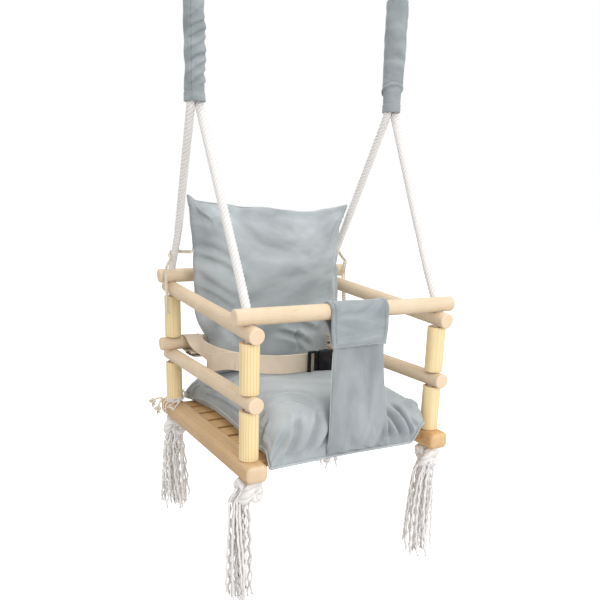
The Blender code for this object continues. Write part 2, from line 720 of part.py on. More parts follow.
def strap_wrap(side):
    """Stations round the back mid bar, from the tail under it to the top, where the strap leaves forward."""
    wrap = DOWEL_R + GAP + STRAP_THICKNESS / 2
    half, across = STRAP_WIDTH / 2, Vector((1, 0, 0))
    weave = STRAP_THICKNESS / 2 + GAP + SLIDE_THICKNESS / 2
    inner, outer = SLIDE_SLOT_OFFSET - 0.003, SLIDE_SLOT_OFFSET + 0.003
    stations = []
    for shift, lift in ((-SLIDE_LENGTH / 2 - 0.0035, -weave), (-outer, -weave), (-inner, weave), (inner, weave),
                        (outer, -weave), (SLIDE_LENGTH / 2, -weave)):
        stations.append((Vector((side * STRAP_X, SLIDE_Y + shift, STRAP_TAIL_Z + lift)), half, across))
    for i in range(13):
        angle = math.radians(-96 + 190 * i / 12)
        point = Vector((side * STRAP_X, HOLE_Y + wrap * math.cos(angle), BACK_MID_Z + wrap * math.sin(angle)))
        stations.append((point, half, across))
    return stations


def strap(name, side, end_x, frame_x, depth, mat):
    """Webbing from the back mid bar round the waist, turning on edge, to lie behind the buckle's strap bar.
    frame_x is where the buckle begins, depth its thickness, and end_x where the webbing ends."""
    stations = strap_wrap(side)
    top = stations[-1][0].z
    route = []
    for x_share, y_share, z_share in STRAP_STATIONS:
        point = Vector((side * STRAP_X * x_share, HOLE_Y * y_share, BUCKLE_Z + (top - BUCKLE_Z) * z_share))
        if side * (point.x - frame_x) > STRAP_LEAD:
            route.append(point)
    behind = BUCKLE_Y + depth / 2 + GAP + STRAP_THICKNESS / 2
    route += [Vector((frame_x + side * 0.4 * STRAP_LEAD, behind, BUCKLE_Z)), Vector((end_x, behind, BUCKLE_Z))]
    for point in route:
        turn = math.pi / 2 * smooth_step((STRAP_TURN_START - point.y / HOLE_Y) / STRAP_TURN_RUN)
        across = Vector((math.cos(turn), 0, side * -math.sin(turn)))
        stations.append((point, STRAP_WIDTH / 2, across))
    return strip(name, stations, STRAP_THICKNESS, mat)


def strap_slide(name, side, mat):
    """A three-bar slide on the strap's tail, in front of the back mid bar."""
    where = Vector((side * STRAP_X, SLIDE_Y, STRAP_TAIL_Z))
    plate = box(name, (STRAP_WIDTH + 2 * SLIDE_MARGIN, SLIDE_LENGTH, SLIDE_THICKNESS), mat,
                rounding=PLASTIC_ROUNDING, location=where)
    for sign in (-1, 1):
        slot = box(f"{name}_slot_{sign + 1}", (STRAP_WIDTH + 2 * SLOT_PLAY, SLIDE_SLOT, CUTTER_REACH), None,
                   helper=True, location=where + Vector((0, sign * SLIDE_SLOT_OFFSET, 0)))
        cut(plate, slot)
    return plate


def buckle_tongue(name, mat):
    """The buckle's tongue: a frame for the strap, a root plate, two sprung prongs and a guide."""
    where = (BUCKLE_X + FRAME_LENGTH / 2, BUCKLE_Y, BUCKLE_Z)
    tongue = box(name, (FRAME_LENGTH, FRAME_DEPTH, BUCKLE_HEIGHT), mat, rounding=2 * PLASTIC_ROUNDING,
                 location=where)
    slot = box(f"{name}_slot", (FRAME_LENGTH - 2 * FRAME_BAR, CUTTER_REACH, STRAP_WIDTH + 2 * PLASTIC_ROUNDING),
               None, helper=True, location=where)
    cut(tongue, slot)
    root = BUCKLE_X + FRAME_LENGTH
    tip = root + PRONG_LENGTH
    foot = root - 0.002
    bars = {"guide": (foot, root + 0.8 * PRONG_LENGTH, 0, GUIDE_WIDTH)}
    for sign in (-1, 1):
        bars[f"prong_{sign + 1}"] = (foot, tip, sign * PRONG_OFFSET, PRONG_WIDTH)
        bars[f"barb_{sign + 1}"] = (tip - 0.001 - BARB_LENGTH, tip - 0.001, sign * BARB_OFFSET, PRONG_WIDTH)
    for word, (start, stop, offset, width) in bars.items():
        bar = box(f"{name}_{word}", (stop - start, PRONG_THICKNESS, width), None, rounding=PLASTIC_ROUNDING,
                  helper=True, location=((start + stop) / 2, BUCKLE_Y, BUCKLE_Z + offset))
        cut(tongue, bar, "UNION")
    return tongue


def buckle_socket(name, mat):
    """The buckle's socket: a shell open to the tongue, with two release windows and a bar for the strap."""
    where = (SOCKET_X + SOCKET_LENGTH / 2, BUCKLE_Y, BUCKLE_Z)
    shell = box(name, (SOCKET_LENGTH, SOCKET_DEPTH, BUCKLE_HEIGHT), mat, rounding=SOCKET_ROUNDING, location=where)
    room = PRONG_LENGTH + 2 * PLAY
    inside = PRONG_THICKNESS + 2 * PLAY
    cavity = box(f"{name}_cavity", (room + CUTTER_REACH, inside, BUCKLE_HEIGHT - 2 * SOCKET_WALL), None,
                 helper=True, location=(SOCKET_X + (room - CUTTER_REACH) / 2, BUCKLE_Y, BUCKLE_Z))
    windows = box(f"{name}_windows", (WINDOW_LENGTH, inside, BUCKLE_HEIGHT + CUTTER_REACH), None, helper=True,
                  location=(SOCKET_X + PRONG_LENGTH - WINDOW_LENGTH / 2, BUCKLE_Y, BUCKLE_Z))
    slot = box(f"{name}_slot", (SOCKET_SLOT, CUTTER_REACH, STRAP_WIDTH + 2 * PLASTIC_ROUNDING), None, helper=True,
               location=(SOCKET_X + SOCKET_LENGTH - SOCKET_BAR - SOCKET_SLOT / 2, BUCKLE_Y, BUCKLE_Z))
    cut(shell, cavity)
    cut(shell, windows)
    cut(shell, slot)
    return shell


def pillow_tie(name, side, mat):
    """A cord from the pillow's side seam round the rope's rear leg and down over the back top bar."""
    way = leg_way(side, BACK_TOP_Z, 1)
    centre = Vector((side * HOLE_X, HOLE_Y, corner_z(BACK_TOP_Z))) + way * TIE_WRAP_RISE
    out = Vector((side, 0, 0))
    back = way.cross(Vector((1, 0, 0))).normalized()
    reach = ROPE_R + GAP + TIE_D / 2 + TIE_PLAY
    start_z = centre.z + 0.002
    seam = (start_z - PILLOW_CENTRE_Z) / (PILLOW_HEIGHT / 2)
    start = Vector((side * (pillow_half(seam) + TIE_D / 2 + GAP / 2), PILLOW_Y, start_z))
    points = [start, start.lerp(centre - out * reach, 0.5)]
    for i in range(9):
        angle = math.radians(180 - 27 * i)
        points.append(centre + out * reach * math.cos(angle) + back * reach * math.sin(angle) - way * 0.0012 * i)
    before_bar = HOLE_Y - DOWEL_R - TIE_D / 2 - GAP
    x = side * (HOLE_X + TIE_TAIL_OUT)
    points += [Vector((x, before_bar - 0.0067, points[-1].z - 0.012)),
               Vector((x, before_bar - 0.0022, BACK_TOP_Z + 0.004)),
               Vector((x, before_bar - 0.0017, BACK_TOP_Z - 0.016)),
               Vector((x, before_bar - 0.0057, BACK_TOP_Z - 0.042)),
               Vector((x + side * 0.001, before_bar - 0.0072, BACK_TOP_Z - 0.066))]
    return tube(name, eased(points, [TIE_EASE_R] * (len(points) - 2), TIE_STEP, 30), TIE_D, mat, resolution=2)


def seat_tie(name, side, mat):
    """A cord from the cushion's rear corner round the foot of the rear post, its end lying on the beam."""
    reach = POST_R + TIE_D / 2 + GAP + TIE_PLAY / 2
    start = Vector((side * (SEAT_HALF_X + TIE_D / 2 - GAP), SEAT_REAR_Y - GAP, SEAT_RIM_Z))
    points = [start]
    for i in range(11):
        angle = math.radians(105 - 25 * i)
        points.append(Vector((side * (HOLE_X + reach * math.cos(angle)), HOLE_Y + reach * math.sin(angle),
                              SEAT_TIE_Z + TIE_PLAY * i)))
    points[1:1] = [start.lerp(points[1], 0.5) + Vector((0, 0.004, -0.002))]
    points.append(Vector((side * (HOLE_X + 0.004), HOLE_Y - reach - SEAT_TIE_TAIL, SEAT_TIE_Z)))
    return tube(name, eased(points, [TIE_EASE_R] * (len(points) - 2), TIE_STEP, 30), TIE_D, mat, resolution=2)


clear_scene()
DATUM = bpy.data.objects.new("datum", None)
DATUM.location = (0, -HANG_Y, -ORIGIN_Z)
bpy.context.scene.collection.objects.link(DATUM)

BEECH = material("rail_beech", (0.78, 0.60, 0.40), 0.55)
PINE = material("post_pine", (0.83, 0.66, 0.36), 0.50)
BEAM_WOOD = material("beam_beech", (0.60, 0.40, 0.22), 0.55)
SLAT_WOOD = material("slat_pine", (0.66, 0.42, 0.20), 0.60)
COTTON = material("cotton_rope", (0.86, 0.83, 0.79), 0.90)
VELVET = material("grey_velvet", (0.34, 0.38, 0.40), 0.85)
WEBBING = material("beige_webbing", (0.60, 0.48, 0.37), 0.85)
PLASTIC = material("black_plastic", (0.015, 0.015, 0.018), 0.35)
SLIDE = material("brown_plastic", (0.10, 0.085, 0.085), 0.40)
STEEL = material("ring_steel", (0.70, 0.70, 0.72), 0.25, 1.0)

cross_bar("front_bar", -HOLE_Y, FRONT_BAR_Z, BEECH, end=-1)
cross_bar("back_top_bar", HOLE_Y, BACK_TOP_Z, BEECH, end=1)
cross_bar("back_mid_bar", HOLE_Y, BACK_MID_Z, BEECH)
for word, sign in SIDES.items():
    side_rail(f"side_top_rail_{word}", sign, FRONT_RAIL_Z, REAR_RAIL_Z, BEECH)
    side_rail(f"side_mid_rail_{word}", sign, MID_RAIL_Z, MID_RAIL_Z, BEECH)
    base_beam(f"base_beam_{word}", sign, BEAM_WOOD)
    for end_word, end_sign, upper_foot in (("front", -1, MID_RAIL_Z), ("rear", 1, BACK_MID_Z)):
        px, py = sign * HOLE_X, end_sign * HOLE_Y
        corner = f"{end_word}_{word}"
        post(f"lower_post_{corner}", px, py, GAP, PINE)
        post(f"upper_post_{corner}", px, py, upper_foot + DOWEL_R + GAP, PINE)
        knot(f"knot_{corner}", px, py, sign + 2 * end_sign, COTTON)
        tassel(f"tassel_{corner}", px, py, TASSEL_LENGTHS[corner], sign - end_sign, COTTON)
    rope(f"rope_{word}", sign, COTTON)
    ring(f"ring_{word}", sign, STEEL)
    whipping(f"eye_whipping_{word}", sign, COTTON)
    sleeve(f"sleeve_{word}", sign, VELVET)
    strap_slide(f"strap_slide_{word}", sign, SLIDE)
    pillow_tie(f"pillow_tie_{word}", sign, COTTON)
    seat_tie(f"seat_tie_{word}", sign, COTTON)
for number, slat_y in enumerate(slat_places(), 1):
    slat(f"slat_{number}", slat_y, SLAT_WOOD)
stuffed("seat_cushion", 18, 18, seat_surface, VELVET)
stuffed("back_pillow", 18, 18, pillow_surface, VELVET)
bar_loop("bar_loop", VELVET)
crotch_panel("crotch_panel", VELVET)
strap("belt_left", -1, BUCKLE_X + FRAME_LENGTH - FRAME_BAR, BUCKLE_X, FRAME_DEPTH, WEBBING)
strap("belt_right", 1, SOCKET_X + SOCKET_LENGTH - SOCKET_BAR - SOCKET_SLOT, SOCKET_X + SOCKET_LENGTH,
      SOCKET_DEPTH, WEBBING)
buckle_tongue("buckle_tongue", PLASTIC)
buckle_socket("buckle_socket", PLASTIC)
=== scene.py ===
"""Looks of a baby swing seat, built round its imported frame.

Metres, +Z up, the front bar at -Y. Sizes that place a piece are the frame's own, in the seat's frame, whose
zero is the top of the base beams midway between the four ropes.
"""

import itertools
import logging
import math
from collections.abc import Callable, Sequence
from dataclasses import dataclass
from enum import Enum

import bmesh
import bpy
import numpy as np
from mathutils import Matrix, Vector


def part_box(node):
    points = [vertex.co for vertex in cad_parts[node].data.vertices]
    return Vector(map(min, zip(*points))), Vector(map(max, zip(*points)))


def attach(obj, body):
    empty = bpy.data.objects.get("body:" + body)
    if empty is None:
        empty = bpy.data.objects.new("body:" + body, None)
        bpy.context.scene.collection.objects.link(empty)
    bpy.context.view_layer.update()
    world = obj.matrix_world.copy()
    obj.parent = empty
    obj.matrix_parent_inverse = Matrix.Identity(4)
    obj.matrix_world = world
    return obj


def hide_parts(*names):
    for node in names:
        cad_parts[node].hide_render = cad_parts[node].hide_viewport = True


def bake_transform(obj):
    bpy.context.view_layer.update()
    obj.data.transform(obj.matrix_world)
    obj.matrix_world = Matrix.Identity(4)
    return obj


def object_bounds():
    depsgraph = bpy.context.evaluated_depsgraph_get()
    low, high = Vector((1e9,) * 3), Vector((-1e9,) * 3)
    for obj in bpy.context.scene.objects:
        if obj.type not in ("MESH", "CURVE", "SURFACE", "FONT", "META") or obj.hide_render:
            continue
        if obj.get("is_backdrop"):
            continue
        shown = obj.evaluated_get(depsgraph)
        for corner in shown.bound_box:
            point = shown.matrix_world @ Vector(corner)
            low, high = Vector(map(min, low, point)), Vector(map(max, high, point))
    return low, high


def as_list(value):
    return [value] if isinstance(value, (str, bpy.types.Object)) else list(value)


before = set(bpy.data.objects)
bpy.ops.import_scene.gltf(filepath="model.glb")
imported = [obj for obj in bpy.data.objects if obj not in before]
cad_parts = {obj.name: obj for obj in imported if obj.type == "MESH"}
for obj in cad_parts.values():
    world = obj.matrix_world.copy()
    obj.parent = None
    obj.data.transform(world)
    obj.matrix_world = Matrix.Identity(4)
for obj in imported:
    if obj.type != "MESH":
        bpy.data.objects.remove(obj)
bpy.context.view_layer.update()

LOG = logging.getLogger("swing_seat")

# The seat's frame, and the part's own sizes that place the pieces here
_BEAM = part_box("base_beam_left")
DATUM = np.array((0.0, (_BEAM[0].y + _BEAM[1].y) / 2, _BEAM[1].z))
GAP = 0.0003
HOLE_X, HOLE_Y = 0.173, 0.1685
DOWEL_R, POST_R, BORE_R = 0.0125, 0.015, 0.0076
POST_LENGTH = 0.077
BEAM_WIDTH, BEAM_HEIGHT = 0.037, 0.029
SIDES = {"left": -1, "right": 1}
ENDS = {"front": -1, "rear": 1}
SLATS = range(1, 9)

Point = Sequence[float]
Node = bpy.types.Node
Tree = bpy.types.NodeTree
Object = bpy.types.Object
Material = bpy.types.Material
Socket = bpy.types.NodeSocket


# Edges that turn by more degrees than these stay crisp, on a cut piece and on a softened one
CRISP, SOFT = 35.0, 50.0


# Shapes


def unit(vectors: np.ndarray) -> np.ndarray:
    """Vectors scaled to length one."""
    return vectors / np.maximum(np.linalg.norm(vectors, axis=-1, keepdims=True), 1e-12)


def smooth_step(x: float | np.ndarray, low: float = 0.0, high: float = 1.0) -> np.ndarray:
    """A smooth rise from 0 at low to 1 at high."""
    share = np.clip((np.asarray(x, float) - low) / (high - low), 0.0, 1.0)
    return share * share * (3 - 2 * share)


def ridge(off: np.ndarray, width: float) -> np.ndarray:
    """A smooth ridge of height 1 along the line where off is 0."""
    return np.exp(-(off / width) ** 2)


def waves(points: np.ndarray, seed: int, length: float, count: int = 5) -> np.ndarray:
    """Smooth, seeded variation over space.

    Args:
        points: Rows of positions.
        seed: What tells one piece's variation from another's.
        length: About how far apart its crests lie.
        count: How many wave trains are summed.

    Returns:
        One value per position, mostly from -1 to 1.
    """
    rng = np.random.default_rng(seed)
    ways = unit(rng.normal(size=(count, points.shape[-1])))
    rates = 2 * math.pi / (length * rng.uniform(0.7, 1.6, count))
    shifts = rng.uniform(0, 2 * math.pi, count)
    return np.sin((points @ ways.T) * rates + shifts).sum(-1) / math.sqrt(count)


def circle(count: int) -> np.ndarray:
    """Even angles once round."""
    return np.arange(count) / count * 2 * math.pi


def run_along(path: np.ndarray) -> np.ndarray:
    """The distance along a line from its first point to each point."""
    return np.concatenate([[0], np.cumsum(np.linalg.norm(np.diff(path, axis=0), axis=1))])


def node_place(node: str) -> tuple[np.ndarray, np.ndarray]:
    """The middle and the size of a CAD node's box, in the row frame."""
    low, high = (np.array(corner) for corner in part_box(node))
    return (low + high) / 2, high - low


def placed(piece: Object, body: str, node: str = "") -> Object:
    """Attaches a piece to the body it rides on, and hides the CAD node it stands for.

    Args:
        piece: The piece.
        body: The body it rides on.
        node: The CAD node it stands for, where it stands for one.

    Returns:
        The piece.
    """
    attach(piece, body)
    if node:
        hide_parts(node)
    return piece


def link(obj: Object, *finishes: Material) -> Object:
    """Puts an object in the scene.

    Args:
        obj: The object.
        finishes: Its materials, in slot order.

    Returns:
        The object.
    """
    bpy.context.scene.collection.objects.link(obj)
    for finish in finishes:
        obj.data.materials.append(finish)
    return obj


def mesh_object(name: str, points: np.ndarray, faces: Sequence, *finishes: Material,
                uv: np.ndarray | None = None, sharp: float = 180.0) -> Object:
    """A mesh piece, shaded smooth.

    Args:
        name: The piece's name.
        points: Rows of positions.
        faces: Rows of point numbers.
        finishes: Its materials, in slot order.
        uv: One place in the flat cloth or grain for each face corner, in order.
        sharp: Edges that turn by more than this many degrees stay crisp.

    Returns:
        The linked object.
    """
    mesh = bpy.data.meshes.new(name)
    mesh.from_pydata(np.asarray(points).tolist(), [], [tuple(face) for face in faces])
    if uv is not None:
        layer = mesh.uv_layers.new(name="lay")
        layer.data.foreach_set("uv", np.asarray(uv, np.float32).ravel())
    mesh.polygons.foreach_set("use_smooth", np.ones(len(mesh.polygons), bool))
    if sharp < 180:
        mesh.set_sharp_from_angle(angle=math.radians(sharp))
    mesh.update()
    return link(bpy.data.objects.new(name, mesh), *finishes)


def skin(points: np.ndarray, wrap: bool = True, close: bool = False, caps: bool = False,
         size: tuple[float, float] = (1.0, 1.0)) -> tuple[np.ndarray, list, np.ndarray]:
    """Quads over a grid of points.

    Args:
        points: Rows of rings, each a row of positions.
        wrap: The last column joins the first.
        close: The last row joins the first.
        caps: The first and last rows are closed with one face each.
        size: What the whole width and length measure in the lay.

    Returns:
        Positions, faces and the place of each face corner in the lay.
    """
    rows, cols = points.shape[:2]
    down, across = (rows if close else rows - 1), (cols if wrap else cols - 1)
    i, j = (m.ravel() for m in np.meshgrid(np.arange(down), np.arange(across), indexing="ij"))
    corners = ((0, 0), (0, 1), (1, 1), (1, 0))
    faces = np.stack([(i + di) % rows * cols + (j + dj) % cols for di, dj in corners], -1)
    uv = np.stack([np.stack([(j + dj) / across * size[0], (i + di) / down * size[1]], -1)
                   for di, dj in corners], 1).reshape(-1, 2)
    faces = faces.tolist()
    if caps:
        faces += [tuple(range(cols))[::-1], tuple(range((rows - 1) * cols, rows * cols))]
        rim = np.linspace(0, 2 * math.pi, cols, endpoint=False)
        spot = 0.002 * np.stack([np.cos(rim), np.sin(rim)], -1)
        uv = np.concatenate([uv, spot[::-1], spot])
    return points.reshape(-1, 3), faces, uv


def lathed(out: np.ndarray, up: np.ndarray, around: int) -> np.ndarray:
    """Rings about Z.

    Args:
        out: Each ring's radius, or a row of radii for each ring.
        up: Each ring's height.
        around: Points in a ring.

    Returns:
        Rows of rings.
    """
    theta = circle(around)
    reach = np.broadcast_to(out if out.ndim == 2 else out[:, None], (len(up), around))
    height = np.broadcast_to(up[:, None], reach.shape)
    return np.stack([reach * np.cos(theta), reach * np.sin(theta), height], -1)


def bundled(name: str, cords: Sequence[np.ndarray], lengths: Sequence[float], finish: Material,
            sharp: float = 180.0) -> Object:
    """Several capped tubes as one piece.

    Args:
        name: The piece's name.
        cords: Each tube's rings.
        lengths: What each tube's length measures in the lay.
        finish: The material.
        sharp: Edges that turn by more than this many degrees stay crisp.

    Returns:
        The piece.
    """
    points, faces, lays, base = [], [], [], 0
    for rings, length in zip(cords, lengths):
        spots, quads, uv = skin(rings, caps=True, size=(1.0, length))
        points.append(spots)
        faces += [tuple(k + base for k in quad) for quad in quads]
        lays.append(uv)
        base += len(spots)
    return mesh_object(name, np.concatenate(points), faces, finish, uv=np.concatenate(lays), sharp=sharp)


def outward(obj: Object) -> Object:
    """Turns every face of a closed mesh to look out.

    Args:
        obj: The piece.

    Returns:
        The piece.
    """
    work = bmesh.new()
    work.from_mesh(obj.data)
    bmesh.ops.recalc_face_normals(work, faces=work.faces)
    work.to_mesh(obj.data)
    work.free()
    return obj


def resample(path: np.ndarray, step: float) -> np.ndarray:
    """The same line with points about step apart."""
    along = run_along(path)
    at = np.linspace(0, along[-1], max(3, math.ceil(along[-1] / step) + 1))
    return np.stack([np.interp(at, along, path[:, k]) for k in range(3)], 1)


def rounded(path: np.ndarray, passes: int = 2) -> np.ndarray:
    """A line with its corners cut.

    Args:
        path: The line.
        passes: How often each corner is cut.

    Returns:
        The line with its ends kept.
    """
    for _ in range(passes):
        near, far = 0.75 * path[:-1] + 0.25 * path[1:], 0.25 * path[:-1] + 0.75 * path[1:]
        path = np.concatenate([path[:1], np.stack([near, far], 1).reshape(-1, 3), path[-1:]])
    return path


def eased(corners: Sequence[Point], radii: Sequence[float], step: float = 0.006,
          facet: float = 4.0) -> np.ndarray:
    """A line through corners, each inner one rounded.

    Args:
        corners: The line's corners.
        radii: The radius at each inner corner.
        step: The most between two points.
        facet: The most degrees between two points of a bend.

    Returns:
        Rows of positions.
    """
    spots = [Vector(c) for c in corners]
    out = [spots[0]]
    for i in range(1, len(spots) - 1):
        before, after = (spots[i] - spots[i - 1]).normalized(), (spots[i + 1] - spots[i]).normalized()
        turn = before.angle(after)
        if turn < 1e-3:
            out.append(spots[i])
            continue
        reach = radii[i - 1] * math.tan(turn / 2)
        centre = spots[i] + (after - before).normalized() * radii[i - 1] / math.cos(turn / 2)
        start = spots[i] - before * reach - centre
        axis = before.cross(after).normalized()
        count = max(1, math.ceil(turn / math.radians(facet)))
        out += [centre + Matrix.Rotation(turn * k / count, 3, axis) @ start for k in range(count + 1)]
    out.append(spots[-1])
    return resample(np.array([tuple(p) for p in out]), step)


def carried_frames(path: np.ndarray, hint: Point) -> tuple[np.ndarray, np.ndarray]:
    """Frames that turn along a line as little as they can.

    Args:
        path: The line.
        hint: Any way that doesn't lie along its start.

    Returns:
        Two unit vectors across the line at each point.
    """
    way = unit(np.gradient(path, axis=0))
    first = unit(np.cross(np.cross(way[0], np.array(hint, float)), way[0]))
    across = [first]
    for i in range(1, len(path)):
        turned = across[-1] - way[i] * float(across[-1] @ way[i])
        across.append(turned / np.linalg.norm(turned))
    across = np.array(across)
    return across, np.cross(way, across)


def laid_section(count: int, sides: int, fill: float) -> np.ndarray:
    """Radii round a bundle of touching strands, as shares of its outer radius.

    Args:
        count: Strands in the bundle.
        sides: Points round it.
        fill: The least radius, where two strands meet.

    Returns:
        One radius for each point.
    """
    strand = 1 / (1 + 1 / math.sin(math.pi / count))
    middle = 1 - strand
    turn = 2 * math.pi / count
    angle = (circle(sides) + turn / 2) % turn - turn / 2
    over = middle * np.cos(angle) + np.sqrt(np.maximum(strand ** 2 - (middle * np.sin(angle)) ** 2, 0))
    return np.maximum(over, fill)


@dataclass(frozen=True)
class Lay:
    """How a laid cord is made up: its strands, their pitch, and how finely it is modelled."""

    radius: float
    strands: int = 3
    pitch: float = 0.0200
    sides: int = 30
    step: float = 0.0013
    fill: float = 0.56

    def rings(self, path: np.ndarray, hint: Point = (1, 0.2, 0.1), turn: float = 0.0,
              girth: Callable[[np.ndarray], np.ndarray] | None = None) -> np.ndarray:
        """Rings of points along a path.

        Args:
            path: The line that the cord follows.
            hint: Any way that doesn't lie along its start.
            turn: The angle at which its first strand starts.
            girth: Scale of its radius for a share of its length.

        Returns:
            Rows of rings.
        """
        line = resample(path, self.step)
        across, over = carried_frames(line, hint)
        along = run_along(line)
        angle = circle(self.sides)[None, :] + (2 * math.pi * along / self.pitch + turn)[:, None]
        radius = self.radius * laid_section(self.strands, self.sides, self.fill)[None, :]
        if girth is not None:
            radius = radius * girth(along / along[-1])[:, None]
        return line[:, None] + radius[..., None] * (
            across[:, None] * np.cos(angle)[..., None] + over[:, None] * np.sin(angle)[..., None])

    def build(self, name: str, path: np.ndarray, finish: Material, **shape: object) -> Object:
        """One laid cord along a path, as a closed mesh."""
        return self.bundle(name, [self.rings(path, **shape)], finish)

    def bundle(self, name: str, cords: Sequence[np.ndarray], finish: Material) -> Object:
        """Several laid cords as one piece."""
        return bundled(name, cords, [self.step * len(rings) for rings in cords], finish, sharp=80)


def evaluated_mesh(obj: Object) -> bpy.types.Mesh:
    """A copy of an object's mesh with its modifiers applied."""
    graph = bpy.context.evaluated_depsgraph_get()
    return bpy.data.meshes.new_from_object(obj.evaluated_get(graph), depsgraph=graph)


def cut_with(obj: Object, cutters: Sequence[Object], operation: str = "DIFFERENCE") -> Object:
    """Cuts shapes from a piece, or joins them to it, and removes them.

    Args:
        obj: The piece.
        cutters: The shapes.
        operation: DIFFERENCE or UNION.

    Returns:
        The piece.
    """
    for cutter in cutters:
        step = obj.modifiers.new(cutter.name, "BOOLEAN")
        step.operation, step.solver, step.object = operation, "EXACT", cutter
    made = evaluated_mesh(obj)
    obj.modifiers.clear()
    obj.data = made
    for cutter in cutters:
        bpy.data.objects.remove(cutter)
    made.polygons.foreach_set("use_smooth", np.ones(len(made.polygons), bool))
    made.set_sharp_from_angle(angle=math.radians(CRISP))
    return obj


def rounded_box(name: str, size: Point, rounding: float, facets: int, *finishes: Material,
                at: Point = (0, 0, 0)) -> Object:
    """A box with rounded edges.

    Args:
        name: The piece's name.
        size: Its size.
        rounding: The radius of its edges.
        facets: Steps in each rounded edge.
        finishes: Its materials, in slot order.
        at: Its middle, in the seat's frame.

    Returns:
        The piece.
    """
    mesh = bpy.data.meshes.new(name)
    work = bmesh.new()
    bmesh.ops.create_cube(work, size=1.0, matrix=Matrix.Diagonal((*size, 1.0)))
    bmesh.ops.bevel(work, geom=work.edges[:], offset=rounding, segments=facets, profile=0.5, affect="EDGES")
    work.to_mesh(mesh)
    work.free()
    mesh.polygons.foreach_set("use_smooth", np.ones(len(mesh.polygons), bool))
    mesh.set_sharp_from_angle(angle=math.radians(SOFT))
    obj = link(bpy.data.objects.new(name, mesh), *finishes)
    obj.location = DATUM + np.array(at, float)
    return obj


def pin(name: str, radius: float, length: float, at: Point, turn: Point = (0, 0, 0)) -> Object:
    """A plain round cutter about its own Z.

    Args:
        name: Its name.
        radius: Its radius.
        length: Its length.
        at: Its middle, in the seat's frame.
        turn: How it is turned from upright.

    Returns:
        The cutter.
    """
    rings = lathed(np.full(2, radius), np.array((-length / 2, length / 2)), 40)
    points, faces, _ = skin(rings, caps=True)
    obj = outward(mesh_object(name, points, faces))
    obj.location, obj.rotation_euler = DATUM + np.array(at, float), turn
    return obj


# Finishes


def shade_node(tree: Tree, kind: str, feeds: dict | None = None, **settings: object) -> Node:
    """A shader node with its settings, values and links.

    Args:
        tree: The tree it goes in.
        kind: Its type, without the ShaderNode in front.
        feeds: What each input takes, by name or number: a value, or the socket that feeds it.
        settings: Its other properties.

    Returns:
        The node.
    """
    node = tree.nodes.new("ShaderNode" + kind)
    for key, value in settings.items():
        setattr(node, key, value)
    for key, value in (feeds or {}).items():
        if isinstance(value, Socket):
            tree.links.new(value, node.inputs[key])
        else:
            node.inputs[key].default_value = value
    return node


def noise(tree: Tree, place: Socket, scale: float | Socket, **shape: float) -> Socket:
    """Smooth noise.

    Args:
        tree: The tree it goes in.
        place: Where it is looked up.
        scale: Its rate over the place.
        shape: Its Detail, Roughness and Distortion.

    Returns:
        Its value.
    """
    return shade_node(tree, "TexNoise", {"Vector": place, "Scale": scale, **shape}).outputs[0]


def stretched(tree: Tree, place: Socket, scale: Point) -> Socket:
    """A place scaled along each axis."""
    return shade_node(tree, "Mapping", {"Vector": place, "Scale": scale}).outputs[0]


def own_place(tree: Tree) -> Socket:
    """The place in the piece's own frame."""
    return shade_node(tree, "TexCoord").outputs["Object"]


def ramp(tree: Tree, factor: Socket, stops: Sequence[tuple[float, float]]) -> Socket:
    """A grey ramp.

    Args:
        tree: The tree it goes in.
        factor: What is looked up.
        stops: Its places and the value at each.

    Returns:
        Its value.
    """
    node = shade_node(tree, "ValToRGB", {"Fac": factor})
    node.color_ramp.elements[0].position, node.color_ramp.elements[1].position = stops[0][0], stops[-1][0]
    for place, _ in stops[1:-1]:
        node.color_ramp.elements.new(place)
    for element, (_, value) in zip(node.color_ramp.elements, stops):
        element.color = (value, value, value, 1)
    return node.outputs["Color"]


def maths(tree: Tree, operation: str, first: object, second: object = 0.0,
          third: object = 0.0) -> Socket:
    """One step of arithmetic."""
    return shade_node(tree, "Math", {0: first, 1: second, 2: third}, operation=operation).outputs[0]


def blended(tree: Tree, share: object, first: object, second: object,
            how: str = "MIX") -> Socket:
    """Two colours mixed.

    Args:
        tree: The tree it goes in.
        share: How much of the second shows.
        first: A colour, or the socket that feeds it.
        second: The same for the other.
        how: The way they are mixed.

    Returns:
        The mixed colour.
    """
    node = shade_node(tree, "Mix", {"Factor": share}, data_type="RGBA", blend_type=how)
    for socket, value in ((node.inputs[6], first), (node.inputs[7], second)):
        if isinstance(value, Socket):
            tree.links.new(value, socket)
        else:
            socket.default_value = value
    return node.outputs[2]


class Pattern(Enum):
    """The surface patterns, each with the name of the method that builds its node group."""

    TIMBER = "lengthwise_grain"
    RINGS = "growth_rings"
    NAP = "brushed_nap"
    TWILL = "twill_web"
    YARN = "laid_yarn"
    HANDLING = "handling_marks"


SOCKETS = {
    Pattern.TIMBER: (("Vector", "Pale", "Dark", "Streaks", "Seed"), ("Color", "Roughness", "Height")),
    Pattern.RINGS: (("Vector", "Pale", "Dark", "Spacing", "Away", "Turn", "Seed"),
                    ("Color", "Roughness", "Height")),
    Pattern.NAP: (("Vector", "Place", "Lit", "Shade", "Scale"), ("Color", "Roughness", "Height")),
    Pattern.TWILL: (("Vector", "Thread", "Gap", "Count"), ("Color", "Height")),
    Pattern.YARN: (("Vector", "Place", "Clean", "Aged", "Count", "Hollow", "Strands", "Twist"),
                   ("Color", "Height")),
    Pattern.HANDLING: (("Vector", "Color", "Amount", "Scale"), ("Color", "Roughness")),
}
COLOUR_SOCKETS = {"Pale", "Dark", "Lit", "Shade", "Thread", "Gap", "Clean", "Aged", "Color"}
VECTOR_SOCKETS = {"Vector", "Place"}


